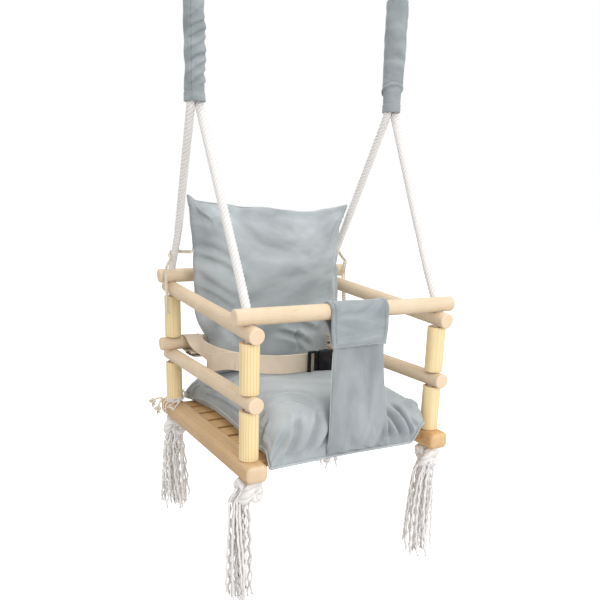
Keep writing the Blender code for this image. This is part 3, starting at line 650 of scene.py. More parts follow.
class PatternBook:
    """Builds each pattern's node group the first time that it is asked for."""

    def __init__(self) -> None:
        """Starts with no pattern built."""
        self.groups: dict[Pattern, Tree] = {}

    def group(self, pattern: Pattern) -> Tree:
        """The node group of a pattern.

        Args:
            pattern: Which pattern.

        Returns:
            Its group, built when it is first asked for.
        """
        if pattern not in self.groups:
            tree = bpy.data.node_groups.new(pattern.value, "ShaderNodeTree")
            for way, names in zip(("INPUT", "OUTPUT"), SOCKETS[pattern]):
                for name in names:
                    kind = ("Color" if name in COLOUR_SOCKETS else
                            "Vector" if name in VECTOR_SOCKETS else "Float")
                    tree.interface.new_socket(name, in_out=way, socket_type="NodeSocket" + kind)
            source, drain = tree.nodes.new("NodeGroupInput"), tree.nodes.new("NodeGroupOutput")
            made = getattr(self, pattern.value)(tree, source.outputs)
            for name, socket in made.items():
                tree.links.new(socket, drain.inputs[name])
            self.groups[pattern] = tree
        return self.groups[pattern]

    def lengthwise_grain(self, tree: Tree, given: bpy.types.NodeOutputs) -> dict:
        """Straight, even hardwood grain along Z with short dark flecks.

        Args:
            tree: The group's tree.
            given: What the material feeds in.

        Returns:
            The socket behind each of the group's outputs.
        """
        away = shade_node(tree, "CombineXYZ", {axis: given["Seed"] for axis in "XYZ"}).outputs[0]
        spot = shade_node(tree, "VectorMath", {0: given["Vector"], 1: away}, operation="ADD").outputs[0]
        broad = stretched(tree, spot, (26, 26, 1.6))
        fine = stretched(tree, spot, (330, 330, 7))
        fleck = stretched(tree, spot, (900, 900, 110))
        drift = noise(tree, broad, 1.0, Detail=5.0, Roughness=0.6, Distortion=1.1)
        lines = noise(tree, fine, 1.0, Detail=3.0, Roughness=0.7, Distortion=0.3)
        pores = noise(tree, fleck, 1.0, Detail=1.0)
        clouds = ramp(tree, drift, ((0.36, 0.0), (0.62, 1.0)))
        streaks = ramp(tree, lines, ((0.38, 0.0), (0.72, 1.0)))
        dark = maths(tree, "MULTIPLY", maths(tree, "MULTIPLY_ADD", streaks, 0.75,
                                             maths(tree, "MULTIPLY", clouds, 0.55)), given["Streaks"])
        specks = maths(tree, "MULTIPLY", ramp(tree, pores, ((0.66, 0.0), (0.74, 1.0))), given["Streaks"])
        colour = blended(tree, maths(tree, "MINIMUM", dark, 1.0), given["Pale"], given["Dark"])
        deep = blended(tree, 1.0, given["Dark"], (0.62, 0.52, 0.44, 1), "MULTIPLY")
        colour = blended(tree, maths(tree, "MULTIPLY", specks, 0.7), colour, deep)
        height = maths(tree, "SUBTRACT", maths(tree, "MULTIPLY", streaks, -0.5), specks)
        rough = maths(tree, "MULTIPLY_ADD", streaks, 0.10, 0.42)
        return {"Color": colour, "Roughness": rough, "Height": height}

    def growth_rings(self, tree: Tree, given: bpy.types.NodeOutputs) -> dict:
        """Pine's growth rings about a pith that lies to one side, dark at each ring's late edge.

        Args:
            tree: The group's tree.
            given: What the material feeds in.

        Returns:
            The socket behind each of the group's outputs.
        """
        turned = shade_node(tree, "VectorRotate", {"Vector": given["Vector"], "Angle": given["Turn"]},
                            rotation_type="Z_AXIS").outputs[0]
        away = shade_node(tree, "CombineXYZ", {"X": given["Away"], "Y": 0.0, "Z": given["Seed"]}).outputs[0]
        spot = shade_node(tree, "VectorMath", {0: turned, 1: away}, operation="ADD").outputs[0]
        bent = stretched(tree, spot, (30, 30, 5))
        sway = noise(tree, bent, 1.0, Detail=2.0)
        parts = shade_node(tree, "SeparateXYZ", {"Vector": spot}).outputs
        flat = maths(tree, "SQRT", maths(tree, "MULTIPLY_ADD", parts[0], parts[0],
                                         maths(tree, "MULTIPLY", parts[1], parts[1])))
        reach = maths(tree, "MULTIPLY_ADD", sway, 0.0042, flat)
        share = maths(tree, "FRACT", maths(tree, "DIVIDE", reach, given["Spacing"]))
        late = ramp(tree, share, ((0.0, 0.25), (0.12, 0.0), (0.55, 0.12), (0.86, 1.0), (0.99, 0.3)))
        grain = stretched(tree, spot, (420, 420, 9))
        lines = noise(tree, grain, 1.0, Detail=3.0, Roughness=0.7)
        fibre = ramp(tree, lines, ((0.35, 0.0), (0.75, 1.0)))
        dark = maths(tree, "MULTIPLY_ADD", fibre, 0.18, maths(tree, "MULTIPLY", late, 0.95))
        colour = blended(tree, maths(tree, "MINIMUM", dark, 1.0), given["Pale"], given["Dark"])
        height = maths(tree, "SUBTRACT", maths(tree, "MULTIPLY", late, 0.9),
                       maths(tree, "MULTIPLY", fibre, 0.35))
        rough = maths(tree, "MULTIPLY_ADD", late, -0.10, 0.50)
        return {"Color": colour, "Roughness": rough, "Height": height}

    def brushed_nap(self, tree: Tree, given: bpy.types.NodeOutputs) -> dict:
        """Short pile brushed this way and that: soft broad patches over a fine, broken grain.

        Args:
            tree: The group's tree.
            given: What the material feeds in.

        Returns:
            The socket behind each of the group's outputs.
        """
        broad = noise(tree, given["Vector"], given["Scale"], Detail=3.0, Roughness=0.45, Distortion=1.8)
        close = maths(tree, "MULTIPLY", given["Scale"], 7.0)
        small = noise(tree, given["Vector"], close, Detail=3.0, Roughness=0.65, Distortion=0.6)
        pile = noise(tree, given["Place"], 870.0, Detail=2.0, Roughness=0.8, Distortion=1.5)
        lie = maths(tree, "MULTIPLY_ADD", ramp(tree, broad, ((0.30, 0.0), (0.70, 1.0))), 0.84,
                    maths(tree, "MULTIPLY", ramp(tree, small, ((0.30, 0.0), (0.72, 1.0))), 0.16))
        tone = maths(tree, "MULTIPLY_ADD", pile, 0.22, maths(tree, "SUBTRACT", lie, 0.11))
        colour = blended(tree, maths(tree, "MINIMUM", maths(tree, "MAXIMUM", tone, 0.0), 1.0),
                         given["Shade"], given["Lit"])
        rough = maths(tree, "MULTIPLY_ADD", lie, -0.12, 0.86)
        height = maths(tree, "MULTIPLY_ADD", pile, 0.6, maths(tree, "MULTIPLY", small, 0.3))
        return {"Color": colour, "Roughness": rough, "Height": height}

    def twill_web(self, tree: Tree, given: bpy.types.NodeOutputs) -> dict:
        """Woven tape: slanting rows of warp floats, each thread rounded.

        Args:
            tree: The group's tree.
            given: What the material feeds in.

        Returns:
            The socket behind each of the group's outputs.
        """
        parts = shade_node(tree, "SeparateXYZ", {"Vector": given["Vector"]}).outputs
        warp = maths(tree, "MULTIPLY", parts[0], given["Count"])
        weft = maths(tree, "MULTIPLY", parts[1], given["Count"])
        crossing = maths(tree, "MULTIPLY_ADD", weft, 0.5, maths(tree, "MULTIPLY", warp, 0.5))
        slant = maths(tree, "FRACT", crossing)
        float_row = maths(tree, "PINGPONG", maths(tree, "MULTIPLY", slant, 2.0), 1.0)
        thread = maths(tree, "PINGPONG", maths(tree, "MULTIPLY", warp, 2.0), 1.0)
        raised = maths(tree, "MULTIPLY", maths(tree, "MULTIPLY_ADD", float_row, 0.7, 0.3),
                       maths(tree, "MULTIPLY_ADD", thread, 0.6, 0.4))
        fuzz = noise(tree, given["Vector"], 900.0, Detail=2.0)
        tone = maths(tree, "MULTIPLY_ADD", fuzz, 0.35, maths(tree, "MULTIPLY", raised, 0.9))
        colour = blended(tree, maths(tree, "MINIMUM", tone, 1.0), given["Gap"], given["Thread"])
        return {"Color": colour, "Height": maths(tree, "MULTIPLY_ADD", fuzz, 0.2, raised)}

    def laid_yarn(self, tree: Tree, given: bpy.types.NodeOutputs) -> dict:
        """Soft cotton yarns lying along a rope, with fluff, painted shade on each yarn's flanks, and painted
        shade in the grooves between strands.

        Args:
            tree: The group's tree.
            given: What the material feeds in.

        Returns:
            The socket behind each of the group's outputs.
        """
        parts = shade_node(tree, "SeparateXYZ", {"Vector": given["Vector"]}).outputs
        fluff = noise(tree, given["Place"], 420.0, Detail=3.0, Roughness=0.7)
        soil = noise(tree, given["Place"], 22.0, Detail=3.0)
        astray = maths(tree, "MULTIPLY_ADD", fluff, 0.035, parts[0])
        turn = maths(tree, "MULTIPLY_ADD", parts[1], given["Twist"], astray)
        yarn = maths(tree, "PINGPONG", maths(tree, "MULTIPLY", turn, given["Count"]), 1.0)
        round_yarn = maths(tree, "SINE", maths(tree, "MULTIPLY", yarn, math.pi / 2))
        tone = maths(tree, "MULTIPLY_ADD", round_yarn, 0.45, maths(tree, "MULTIPLY", fluff, 0.5))
        clean = blended(tree, ramp(tree, soil, ((0.40, 0.0), (0.75, 0.7))), given["Clean"], given["Aged"])
        shadow = blended(tree, 1.0, given["Aged"], (0.93, 0.92, 0.91, 1), "MULTIPLY")
        colour = blended(tree, ramp(tree, tone, ((0.10, 0.0), (0.50, 1.0))), shadow, clean)
        # Painted shade: the grooves where strands meet are darkened, as if in shadow.
        strand = maths(tree, "PINGPONG", maths(tree, "MULTIPLY", parts[0], given["Strands"]), 0.5)
        valley_shade_mask = ramp(tree, strand, ((0.34, 0.0), (0.5, 1.0)))
        deep = blended(tree, 1.0, colour, (0.56, 0.53, 0.52, 1), "MULTIPLY")
        colour = blended(tree, maths(tree, "MULTIPLY", valley_shade_mask, given["Hollow"]), colour, deep)
        return {"Color": colour, "Height": maths(tree, "MULTIPLY_ADD", fluff, 0.5, round_yarn)}

    def handling_marks(self, tree: Tree, given: bpy.types.NodeOutputs) -> dict:
        """Faint soiling and rubbed patches from being handled.

        Args:
            tree: The group's tree.
            given: What the material feeds in.

        Returns:
            The socket behind each of the group's outputs.
        """
        broad = noise(tree, given["Vector"], given["Scale"], Detail=4.0, Roughness=0.6)
        close = maths(tree, "MULTIPLY", given["Scale"], 14.0)
        fine = noise(tree, given["Vector"], close, Detail=2.0)
        mask = maths(tree, "MULTIPLY", ramp(tree, broad, ((0.42, 0.0), (0.72, 1.0))), given["Amount"])
        soiled = blended(tree, 1.0, given["Color"], (0.80, 0.76, 0.70, 1), "MULTIPLY")
        colour = blended(tree, mask, given["Color"], soiled)
        rough = maths(tree, "MULTIPLY_ADD", fine, 0.12, maths(tree, "MULTIPLY", mask, 0.15))
        return {"Color": colour, "Roughness": rough}


BOOK = PatternBook()
Colour = tuple[float, float, float]


@dataclass(frozen=True)
class Finish:
    """What every finish has: a name, and the steps that all materials share."""

    name: str

    def started(self, **shader: float | tuple) -> tuple[Material, Tree, Node]:
        """Starts a material.

        Args:
            shader: Values of the shader's own sockets, an underscore for each space.

        Returns:
            The material, its tree and its shader.
        """
        made = bpy.data.materials.new(self.name)
        made.use_nodes = True
        node = made.node_tree.nodes["Principled BSDF"]
        for key, value in shader.items():
            node.inputs[key.replace("_", " ")].default_value = value
        return made, made.node_tree, node

    def pattern(self, tree: Tree, which: Pattern, **feeds: object) -> bpy.types.NodeOutputs:
        """Places a pattern in the material.

        Args:
            tree: The material's tree.
            which: Which pattern.
            feeds: The value or the socket for each of its inputs.

        Returns:
            The pattern's outputs.
        """
        node = tree.nodes.new("ShaderNodeGroup")
        node.node_tree = BOOK.group(which)
        for key, value in feeds.items():
            if isinstance(value, Socket):
                tree.links.new(value, node.inputs[key])
            else:
                node.inputs[key].default_value = (*value, 1) if key in COLOUR_SOCKETS else value
        return node.outputs

    def bumped(self, tree: Tree, shader: Node, height: Socket, depth: float,
               strength: float = 1.0) -> None:
        """Lets a height raise the surface by a depth in metres, at a strength from 0 to 1."""
        bump = shade_node(tree, "Bump", {"Height": height, "Distance": depth, "Strength": strength})
        tree.links.new(bump.outputs[0], shader.inputs["Normal"])

    def marked(self, tree: Tree, shader: Node, colour: Socket, rough: object,
               spot: Socket, amount: float, scale: float) -> None:
        """Puts handling marks over a colour, and both into the shader.

        Args:
            tree: The material's tree.
            shader: Its shader.
            colour: The clean colour.
            rough: The clean roughness, a value or a socket.
            spot: The place in the piece's own frame.
            amount: How strong the marks are.
            scale: How close together they lie.
        """
        marks = self.pattern(tree, Pattern.HANDLING, Vector=spot, Color=(0, 0, 0), Amount=amount, Scale=scale)
        tree.links.new(colour, marks[0].node.inputs["Color"])
        tree.links.new(marks["Color"], shader.inputs["Base Color"])
        tree.links.new(maths(tree, "ADD", rough, marks["Roughness"]), shader.inputs["Roughness"])


@dataclass(frozen=True)
class Hardwood(Finish):
    """Sanded pale hardwood with its grain along the piece."""

    pale: Colour
    dark: Colour
    streaks: float = 0.55
    seed: float = 0.0

    def build(self) -> Material:
        """Builds the material.

        Returns:
            The material.
        """
        made, tree, shader = self.started(Specular_IOR_Level=0.32)
        spot = own_place(tree)
        grain = self.pattern(tree, Pattern.TIMBER, Vector=spot, Pale=self.pale, Dark=self.dark,
                             Streaks=self.streaks, Seed=self.seed)
        self.marked(tree, shader, grain["Color"], grain["Roughness"], spot, 0.35, 14.0)
        self.bumped(tree, shader, grain["Height"], 0.00012, 0.6)
        return made


@dataclass(frozen=True)
class Pine(Finish):
    """Sanded pine with its growth rings showing as lengthwise lines."""

    pale: Colour
    dark: Colour
    spacing: float = 0.0028
    away: float = 0.09
    turn: float = 0.0
    seed: float = 0.0

    def build(self) -> Material:
        """Builds the material.

        Returns:
            The material.
        """
        made, tree, shader = self.started(Specular_IOR_Level=0.30)
        spot = own_place(tree)
        rings = self.pattern(tree, Pattern.RINGS, Vector=spot, Pale=self.pale, Dark=self.dark,
                             Spacing=self.spacing, Away=self.away, Turn=self.turn, Seed=self.seed)
        self.marked(tree, shader, rings["Color"], rings["Roughness"], spot, 0.25, 18.0)
        self.bumped(tree, shader, rings["Height"], 0.0002, 0.7)
        return made


@dataclass(frozen=True)
class Velvet(Finish):
    """Short-pile grey velvet that shows how it was last brushed."""

    lit: Colour = (0.515, 0.552, 0.566)
    shade: Colour = (0.325, 0.355, 0.366)
    scale: float = 6.5
    stretch: Point = (0.6, 0.9, 1.3)

    def build(self) -> Material:
        """Builds the material.

        Returns:
            The material.
        """
        made, tree, shader = self.started(Specular_IOR_Level=0.22, Sheen_Weight=0.75, Sheen_Roughness=0.33,
                                          Sheen_Tint=(0.95, 0.98, 1.0, 1))
        spot = own_place(tree)
        brushed = shade_node(tree, "VectorMath", {0: spot, 1: self.stretch}, operation="MULTIPLY").outputs[0]
        nap = self.pattern(tree, Pattern.NAP, Vector=brushed, Place=spot, Lit=self.lit, Shade=self.shade,
                           Scale=self.scale)
        tree.links.new(nap["Color"], shader.inputs["Base Color"])
        tree.links.new(nap["Roughness"], shader.inputs["Roughness"])
        self.bumped(tree, shader, nap["Height"], 0.00035, 0.55)
        return made


@dataclass(frozen=True)
class Webbing(Finish):
    """Woven cotton tape."""

    thread: Colour = (0.800, 0.680, 0.545)
    gap: Colour = (0.640, 0.530, 0.415)
    count: float = 560.0

    def build(self) -> Material:
        """Builds the material.

        Returns:
            The material.
        """
        made, tree, shader = self.started(Specular_IOR_Level=0.2, Roughness=0.85, Sheen_Weight=0.15,
                                          Sheen_Roughness=0.5)
        lay = shade_node(tree, "TexCoord").outputs["UV"]
        weave = self.pattern(tree, Pattern.TWILL, Vector=lay, Thread=self.thread, Gap=self.gap,
                             Count=self.count)
        spot = own_place(tree)
        self.marked(tree, shader, weave["Color"], 0.78, spot, 0.4, 30.0)
        self.bumped(tree, shader, weave["Height"], 0.00022, 0.8)
        return made


@dataclass(frozen=True)
class Cotton(Finish):
    """Laid or unlaid cotton yarn."""

    clean: Colour = (0.83, 0.812, 0.802)
    aged: Colour = (0.82, 0.790, 0.758)
    count: float = 40.0
    # How strongly painted shade darkens the grooves between strands.
    groove_shade: float = 0.55
    strands: float = 5.0
    twist: float = 50.0
    glow: float = 0.35
    relief: float = 0.7

    def build(self) -> Material:
        """Builds the material.

        Returns:
            The material.
        """
        made, tree, shader = self.started(Specular_IOR_Level=0.15, Roughness=0.95,
                                          Subsurface_Weight=self.glow, Subsurface_Radius=(1.0, 0.95, 0.9),
                                          Subsurface_Scale=0.004)
        coords = shade_node(tree, "TexCoord")
        yarn = self.pattern(tree, Pattern.YARN, Vector=coords.outputs["UV"], Place=coords.outputs["Object"],
                            Clean=self.clean, Aged=self.aged, Count=self.count, Hollow=self.groove_shade,
                            Strands=self.strands, Twist=self.twist)
        tree.links.new(yarn["Color"], shader.inputs["Base Color"])
        self.bumped(tree, shader, yarn["Height"], 0.0003, self.relief)
        return made


@dataclass(frozen=True)
class Moulded(Finish):
    """Moulded plastic with a fine spark texture."""

    colour: Colour
    roughness: float
    texture: float = 1200.0
    shine: float = 0.5

    def build(self) -> Material:
        """Builds the material.

        Returns:
            The material.
        """
        made, tree, shader = self.started(Specular_IOR_Level=self.shine)
        spot = own_place(tree)
        tone = noise(tree, spot, 60.0, Detail=3.0)
        light = tuple(min(1.0, 1.7 * c + 0.006) for c in self.colour)
        colour = blended(tree, ramp(tree, tone, ((0.4, 0.0), (0.8, 1.0))), (*self.colour, 1), (*light, 1))
        self.marked(tree, shader, colour, self.roughness, spot, 0.3, 45.0)
        spark = noise(tree, spot, self.texture, Detail=2.0)
        self.bumped(tree, shader, spark, 0.00006, 0.5)
        return made


@dataclass(frozen=True)
class BrushedSteel(Finish):
    """Round steel wire, drawn and a little scuffed."""

    def build(self) -> Material:
        """Builds the material.

        Returns:
            The material.
        """
        made, tree, shader = self.started(Metallic=1.0)
        spot = own_place(tree)
        drawn = stretched(tree, spot, (60, 900, 60))
        lines = noise(tree, drawn, 1.0, Detail=3.0)
        bright = ramp(tree, lines, ((0.3, 0.0), (0.7, 1.0)))
        colour = blended(tree, bright, (0.55, 0.55, 0.57, 1), (0.75, 0.75, 0.77, 1))
        self.marked(tree, shader, colour, maths(tree, "MULTIPLY_ADD", lines, 0.18, 0.18), spot, 0.5, 80.0)
        self.bumped(tree, shader, lines, 0.00005, 0.5)
        return made


# Studio


@dataclass(frozen=True)
class Studio:
    """The photograph's camera, a pale floor far below the seat, and soft light."""

    eye: Point = (-0.57652, -1.03143, -0.44621)
    yaw: float = math.radians(-28.34)
    pitch: float = math.radians(-15.52)
    roll: float = math.radians(1.27)
    lens: float = 40.10
    sensor: float = 36.0
    shift: tuple[float, float] = (0.0278, 0.1417)
    floor_drop: float = 0.45
    floor_reach: float = 20.0
    ambient: float = 0.92
    aim_height: float = 0.15

    def camera(self) -> Object:
        """Sets the camera where the photograph was taken from.

        Returns:
            The camera.
        """
        data = bpy.data.cameras.new("camera")
        data.lens, data.sensor_width = self.lens, self.sensor
        data.shift_x, data.shift_y = self.shift
        data.clip_start, data.clip_end = 0.05, 60.0
        level = math.cos(self.pitch)
        forward = Vector((-math.sin(self.yaw) * level, math.cos(self.yaw) * level, math.sin(self.pitch)))
        right = Vector((math.cos(self.yaw), math.sin(self.yaw), 0))
        over = right.cross(forward)
        side = right * math.cos(self.roll) + over * math.sin(self.roll)
        top = -right * math.sin(self.roll) + over * math.cos(self.roll)
        obj = bpy.data.objects.new("camera", data)
        bpy.context.scene.collection.objects.link(obj)
        turned = Matrix((side, top, -forward)).transposed().to_4x4()
        obj.matrix_world = Matrix.Translation(self.eye) @ turned
        bpy.context.scene.camera = obj
        return obj

    def floor(self) -> None:
        """A wide, pale floor."""
        made = bpy.data.materials.new("studio_floor")
        made.use_nodes = True
        tree, shader = made.node_tree, made.node_tree.nodes["Principled BSDF"]
        tone = noise(tree, own_place(tree), 0.8, Detail=2.0)
        pale = blended(tree, tone, (0.60, 0.60, 0.60, 1), (0.64, 0.64, 0.64, 1))
        tree.links.new(pale, shader.inputs["Base Color"])
        sight = shade_node(tree, "LightPath").outputs["Is Camera Ray"]
        tree.links.new(maths(tree, "MULTIPLY", sight, 0.80), shader.inputs["Emission Strength"])
        shader.inputs["Roughness"].default_value = 0.9
        shader.inputs["Emission Color"].default_value = (1, 1, 1, 1)
        shader.inputs["Specular IOR Level"].default_value = 0.1
        low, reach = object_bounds()[0].z - self.floor_drop, self.floor_reach
        corners = [(-reach, -reach, low), (reach, -reach, low), (reach, reach, low), (-reach, reach, low)]
        mesh_object("studio_floor", np.array(corners), [(0, 1, 2, 3)], made)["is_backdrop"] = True

    def lights(self) -> None:
        """A white surround and three large, soft lights."""
        world = bpy.data.worlds.new("studio")
        world.use_nodes = True
        back = world.node_tree.nodes["Background"]
        sight = world.node_tree.nodes.new("ShaderNodeLightPath")
        glow = world.node_tree.nodes.new("ShaderNodeMapRange")
        glow.inputs["To Min"].default_value, glow.inputs["To Max"].default_value = self.ambient, 1.0
        world.node_tree.links.new(sight.outputs["Is Camera Ray"], glow.inputs["Value"])
        world.node_tree.links.new(glow.outputs[0], back.inputs[1])
        back.inputs[0].default_value = (1.0, 1.0, 1.0, 1)
        bpy.context.scene.world = world
        aim = Vector(DATUM + np.array((0, 0, self.aim_height)))
        for name, place, size, power in (("key", (-0.2, -2.2, 0.9), 1.0, 19.0),
                                         ("top", (0.3, 0.2, 2.4), 1.2, 14.0),
                                         ("fill", (1.9, -1.2, 0.3), 1.6, 5.0)):
            lamp = bpy.data.lights.new(name, "AREA")
            lamp.size, lamp.energy = size, power
            obj = bpy.data.objects.new(name, lamp)
            obj.location = aim + Vector(place)
            obj.rotation_euler = (aim - obj.location).to_track_quat("-Z", "Y").to_euler()
            bpy.context.scene.collection.objects.link(obj)
        bpy.context.scene.view_settings.view_transform = "Standard"

    def build(self) -> None:
        """Sets the whole studio up."""
        self.camera()
        self.floor()
        self.lights()


# Ropes and what they hang from


@dataclass(frozen=True)
class RopeRun:
    """The way of the two ropes: under a base beam, up the stack, to the sleeve, the eye, and down again."""

    radius: float = 0.006
    bend: float = 0.024
    parting: float = 0.075
    leg_ease: float = 0.3
    mouth_ease: float = 0.030
    mouth_straight: float = 0.003
    spacing: float = 0.013
    hang_x: float = 0.184
    hang_y: float = 0.010
    mouth: tuple[float, float] = (0.520, 0.531)
    sleeve_top: float = 0.708
    whipping_z: float = 0.709
    whipping_height: float = 0.014
    eye_foot: float = 0.725
    eye_radius: float = 0.024
    eye_angle: float = math.radians(25)
    bends: tuple[float, float] = (0.207031, 0.253380)

    def mouth_z(self, side: int) -> float:
        """Height of a sleeve's mouth."""
        return self.mouth[side > 0]

    @property
    def eye_z(self) -> float:
        """Height of the eyes' centres."""
        slope = (self.eye_radius * math.cos(self.eye_angle) - self.spacing / 2) / math.sin(self.eye_angle)
        return self.eye_foot + slope * math.cos(self.eye_angle) + self.eye_radius * math.sin(self.eye_angle)

    def leg_way(self, side: int, end: int) -> np.ndarray:
        """Unit vector up a free leg, in the plane of its side."""
        rise = self.mouth_z(side) - self.mouth_straight - self.bends[end > 0]
        return unit(np.array((0.0, self.hang_y - end * HOLE_Y, rise)))

    def in_sleeve(self, side: int, end: int, share: float) -> np.ndarray:
        """Where a leg runs in the sleeve, a quarter turn up it.

        Args:
            side: -1 for the left rope, 1 for the right.
            end: -1 for its front leg, 1 for its rear leg.
            share: How far up the sleeve.

        Returns:
            The place, in the seat's frame.
        """
        angle, reach = math.pi / 2 * share, self.spacing / 2
        low = self.mouth_z(side)
        return np.array((side * self.hang_x - end * reach * math.cos(angle),
                         self.hang_y + end * reach * math.sin(angle), low + (self.sleeve_top - low) * share))

    def half(self, side: int, end: int) -> np.ndarray:
        """One half of a rope, from under its base beam to the top of its eye.

        Args:
            side: -1 for the left rope, 1 for the right.
            end: -1 for its front leg, 1 for its rear leg.

        Returns:
            Rows of positions, in the seat's frame.
        """
        foot = np.array((side * HOLE_X, end * HOLE_Y, -BEAM_HEIGHT))
        bend = np.array((side * HOLE_X, end * HOLE_Y, self.bends[end > 0]))
        parting = bend + self.leg_way(side, end) * self.parting
        low = self.mouth_z(side) - self.mouth_straight
        mouth = np.array((self.in_sleeve(side, end, 0)[0], self.hang_y, low))
        inside = mouth + np.array((0, 0, 3.7 * self.mouth_straight))
        line = eased([foot, bend, parting, mouth, inside], [self.bend, self.leg_ease, self.mouth_ease])
        within = [self.in_sleeve(side, end, 1 / 8 + 7 / 8 * k / 20) for k in range(21)]
        eye_foot = (side * self.hang_x, self.hang_y + end * self.spacing / 2, self.eye_foot)
        eye_side = (side * self.hang_x, self.hang_y + end * self.eye_radius * math.cos(self.eye_angle),
                    self.eye_z - self.eye_radius * math.sin(self.eye_angle))
        rise = eased([within.pop(), eye_foot, eye_side], [self.eye_radius])
        turns = -self.eye_angle + (math.pi / 2 + self.eye_angle) * np.arange(1, 16) / 15
        arc = np.stack([np.full(15, side * self.hang_x), self.hang_y + end * self.eye_radius * np.cos(turns),
                        self.eye_z + self.eye_radius * np.sin(turns)], 1)
        return np.concatenate([line, within, rise, arc])

    def whole(self, side: int) -> np.ndarray:
        """The whole rope, from its front foot to its rear foot, in the row frame."""
        return resample(np.concatenate([self.half(side, -1), self.half(side, 1)[-2::-1]]), 0.004) + DATUM


@dataclass(frozen=True)
class Sleeve:
    """A velvet tube over a rope's two legs, slack and creased, with a stitched hem and a lengthwise seam."""

    run: RopeRun
    word: str
    velvet: Material
    rows: int = 150
    columns: int = 132
    wall: float = 0.0016
    inner: float = 0.0132
    soft_depth: float = 0.0009
    fold_depth: float = 0.0033
    hem: float = 0.013
    hem_step: float = 0.0007
    stitch_z: float = 0.0138
    stitch_dip: float = 0.0006
    seam_dip: float = 0.0011
    seam_swell: float = 0.0006
    gather_dip: float = 0.0008
    pleats: int = 9
    gather: float = 0.012
    flat_width: float = 0.098

    @property
    def side(self) -> int:
        """-1 for the left sleeve, 1 for the right."""
        return SIDES[self.word]

    def puckered(self, z: np.ndarray, off_seam: np.ndarray, soft: np.ndarray) -> np.ndarray:
        """The left sleeve's slanted puckers, down the side away from its seam.

        Args:
            z: Height above the mouth.
            off_seam: Angle from the seam.
            soft: Soft variation.

        Returns:
            How far each point is folded out, as a share of the fold's depth.
        """
        pitch, slant, sharpness = 0.0150, 0.65, 0.55
        share = (z / pitch - slant * np.sin(off_seam - 0.5) + 0.12 * soft) % 1.0
        zone = smooth_step(z, 0.016, 0.026) * (1 - 0.7 * smooth_step(z, 0.105, 0.125))
        facing = smooth_step(np.cos(off_seam - 0.72), 0.35, 0.85)
        folds = 1.45 * np.sin(math.pi * share ** sharpness) * zone * facing
        return folds - 0.25 * zone * facing

    def arched(self, z: np.ndarray, angle: np.ndarray, off_seam: np.ndarray, soft: np.ndarray) -> np.ndarray:
        """The right sleeve's one arched fold near the mouth, and the fuller cloth above it.

        Args:
            z: Height above the mouth.
            angle: Angle round the sleeve.
            off_seam: Angle from the seam.
            soft: Soft variation.

        Returns:
            How far each point is folded out, as a share of the fold's depth.
        """
        above = z - (0.033 + 0.008 * np.cos(angle + 1.85) + 0.0015 * soft)
        folds = 0.75 * smooth_step(above, -0.001, 0.002) + 0.35 * ridge(above - 0.003, 0.0022)
        folds = folds - 0.30 * ridge(above + 0.002, 0.0016)
        folds = folds - 0.45 * ridge(above - 0.0085 - 0.002 * np.sin(angle), 0.0013)
        drape = np.abs(np.sin(z * 2 * math.pi / 0.05 + 2 * np.sin(off_seam) + soft))
        folds = folds + 0.30 * drape * smooth_step(z, 0.05, 0.1)
        return folds + 0.30 * smooth_step(z, 0.036, 0.09) * np.maximum(0, np.cos(angle + 0.4))

    def reach(self, z: np.ndarray, height: float) -> np.ndarray:
        """The cover's outer radius.

        Args:
            z: Height of each row above the mouth.
            height: The sleeve's height.

        Returns:
            A row of radii for each row.
        """
        angle = circle(self.columns)[None, :]
        seam = math.radians(-128 if self.side < 0 else -60)
        off_seam = (angle - seam + math.pi) % (2 * math.pi) - math.pi
        slack = 0.5 + 0.5 * np.sin(off_seam * 0.5 + (1.2 if self.side < 0 else 0.2)) ** 2
        about = 0.016
        spot = np.stack(np.broadcast_arrays(np.cos(angle) * about, np.sin(angle) * about, z), -1)
        soft = waves(spot.reshape(-1, 3), 11 + self.side, 0.030).reshape(self.rows, self.columns)
        folds = self.puckered(z, off_seam, soft) if self.side < 0 else self.arched(z, angle, off_seam, soft)
        out = self.inner + self.wall + self.soft_depth * slack + self.soft_depth * soft
        out = out + self.fold_depth * folds
        hemmed, sewn = smooth_step(self.hem - z, 0.0, 0.0012), ridge(z - self.stitch_z, 0.0009)
        out = out + self.hem_step * hemmed - self.stitch_dip * sewn
        out = out - self.seam_dip * ridge(off_seam, 0.045)
        out = out + self.seam_swell * ridge(np.abs(off_seam) - 0.11, 0.05)
        drawn = smooth_step(z, height - self.gather, height)
        return out + self.gather_dip * drawn * np.sin(self.pleats * angle) - self.gather_dip * drawn

    def build(self) -> Object:
        """Builds the sleeve.

        Returns:
            The piece.
        """
        low = self.run.mouth_z(self.side)
        height = self.run.sleeve_top - low
        up = np.linspace(0, height, self.rows)
        body = lathed(self.reach(up[:, None], height), up, self.columns)
        inside = lathed(np.full(self.rows, self.inner), up, self.columns)
        lip = (body[0] + inside[0]) / 2 - np.array((0, 0, 0.0007))
        rings = np.concatenate([inside[::-6], lip[None], body])
        rings = rings + DATUM + np.array((self.side * self.run.hang_x, self.run.hang_y, low))
        points, faces, uv = skin(rings, close=True, size=(0.097, 0.38))
        sleeve = outward(mesh_object(f"velvet_sleeve_{self.word}", points, faces, self.velvet, uv=uv))
        placed(sleeve, "seat", f"sleeve_{self.word}")
        return sleeve


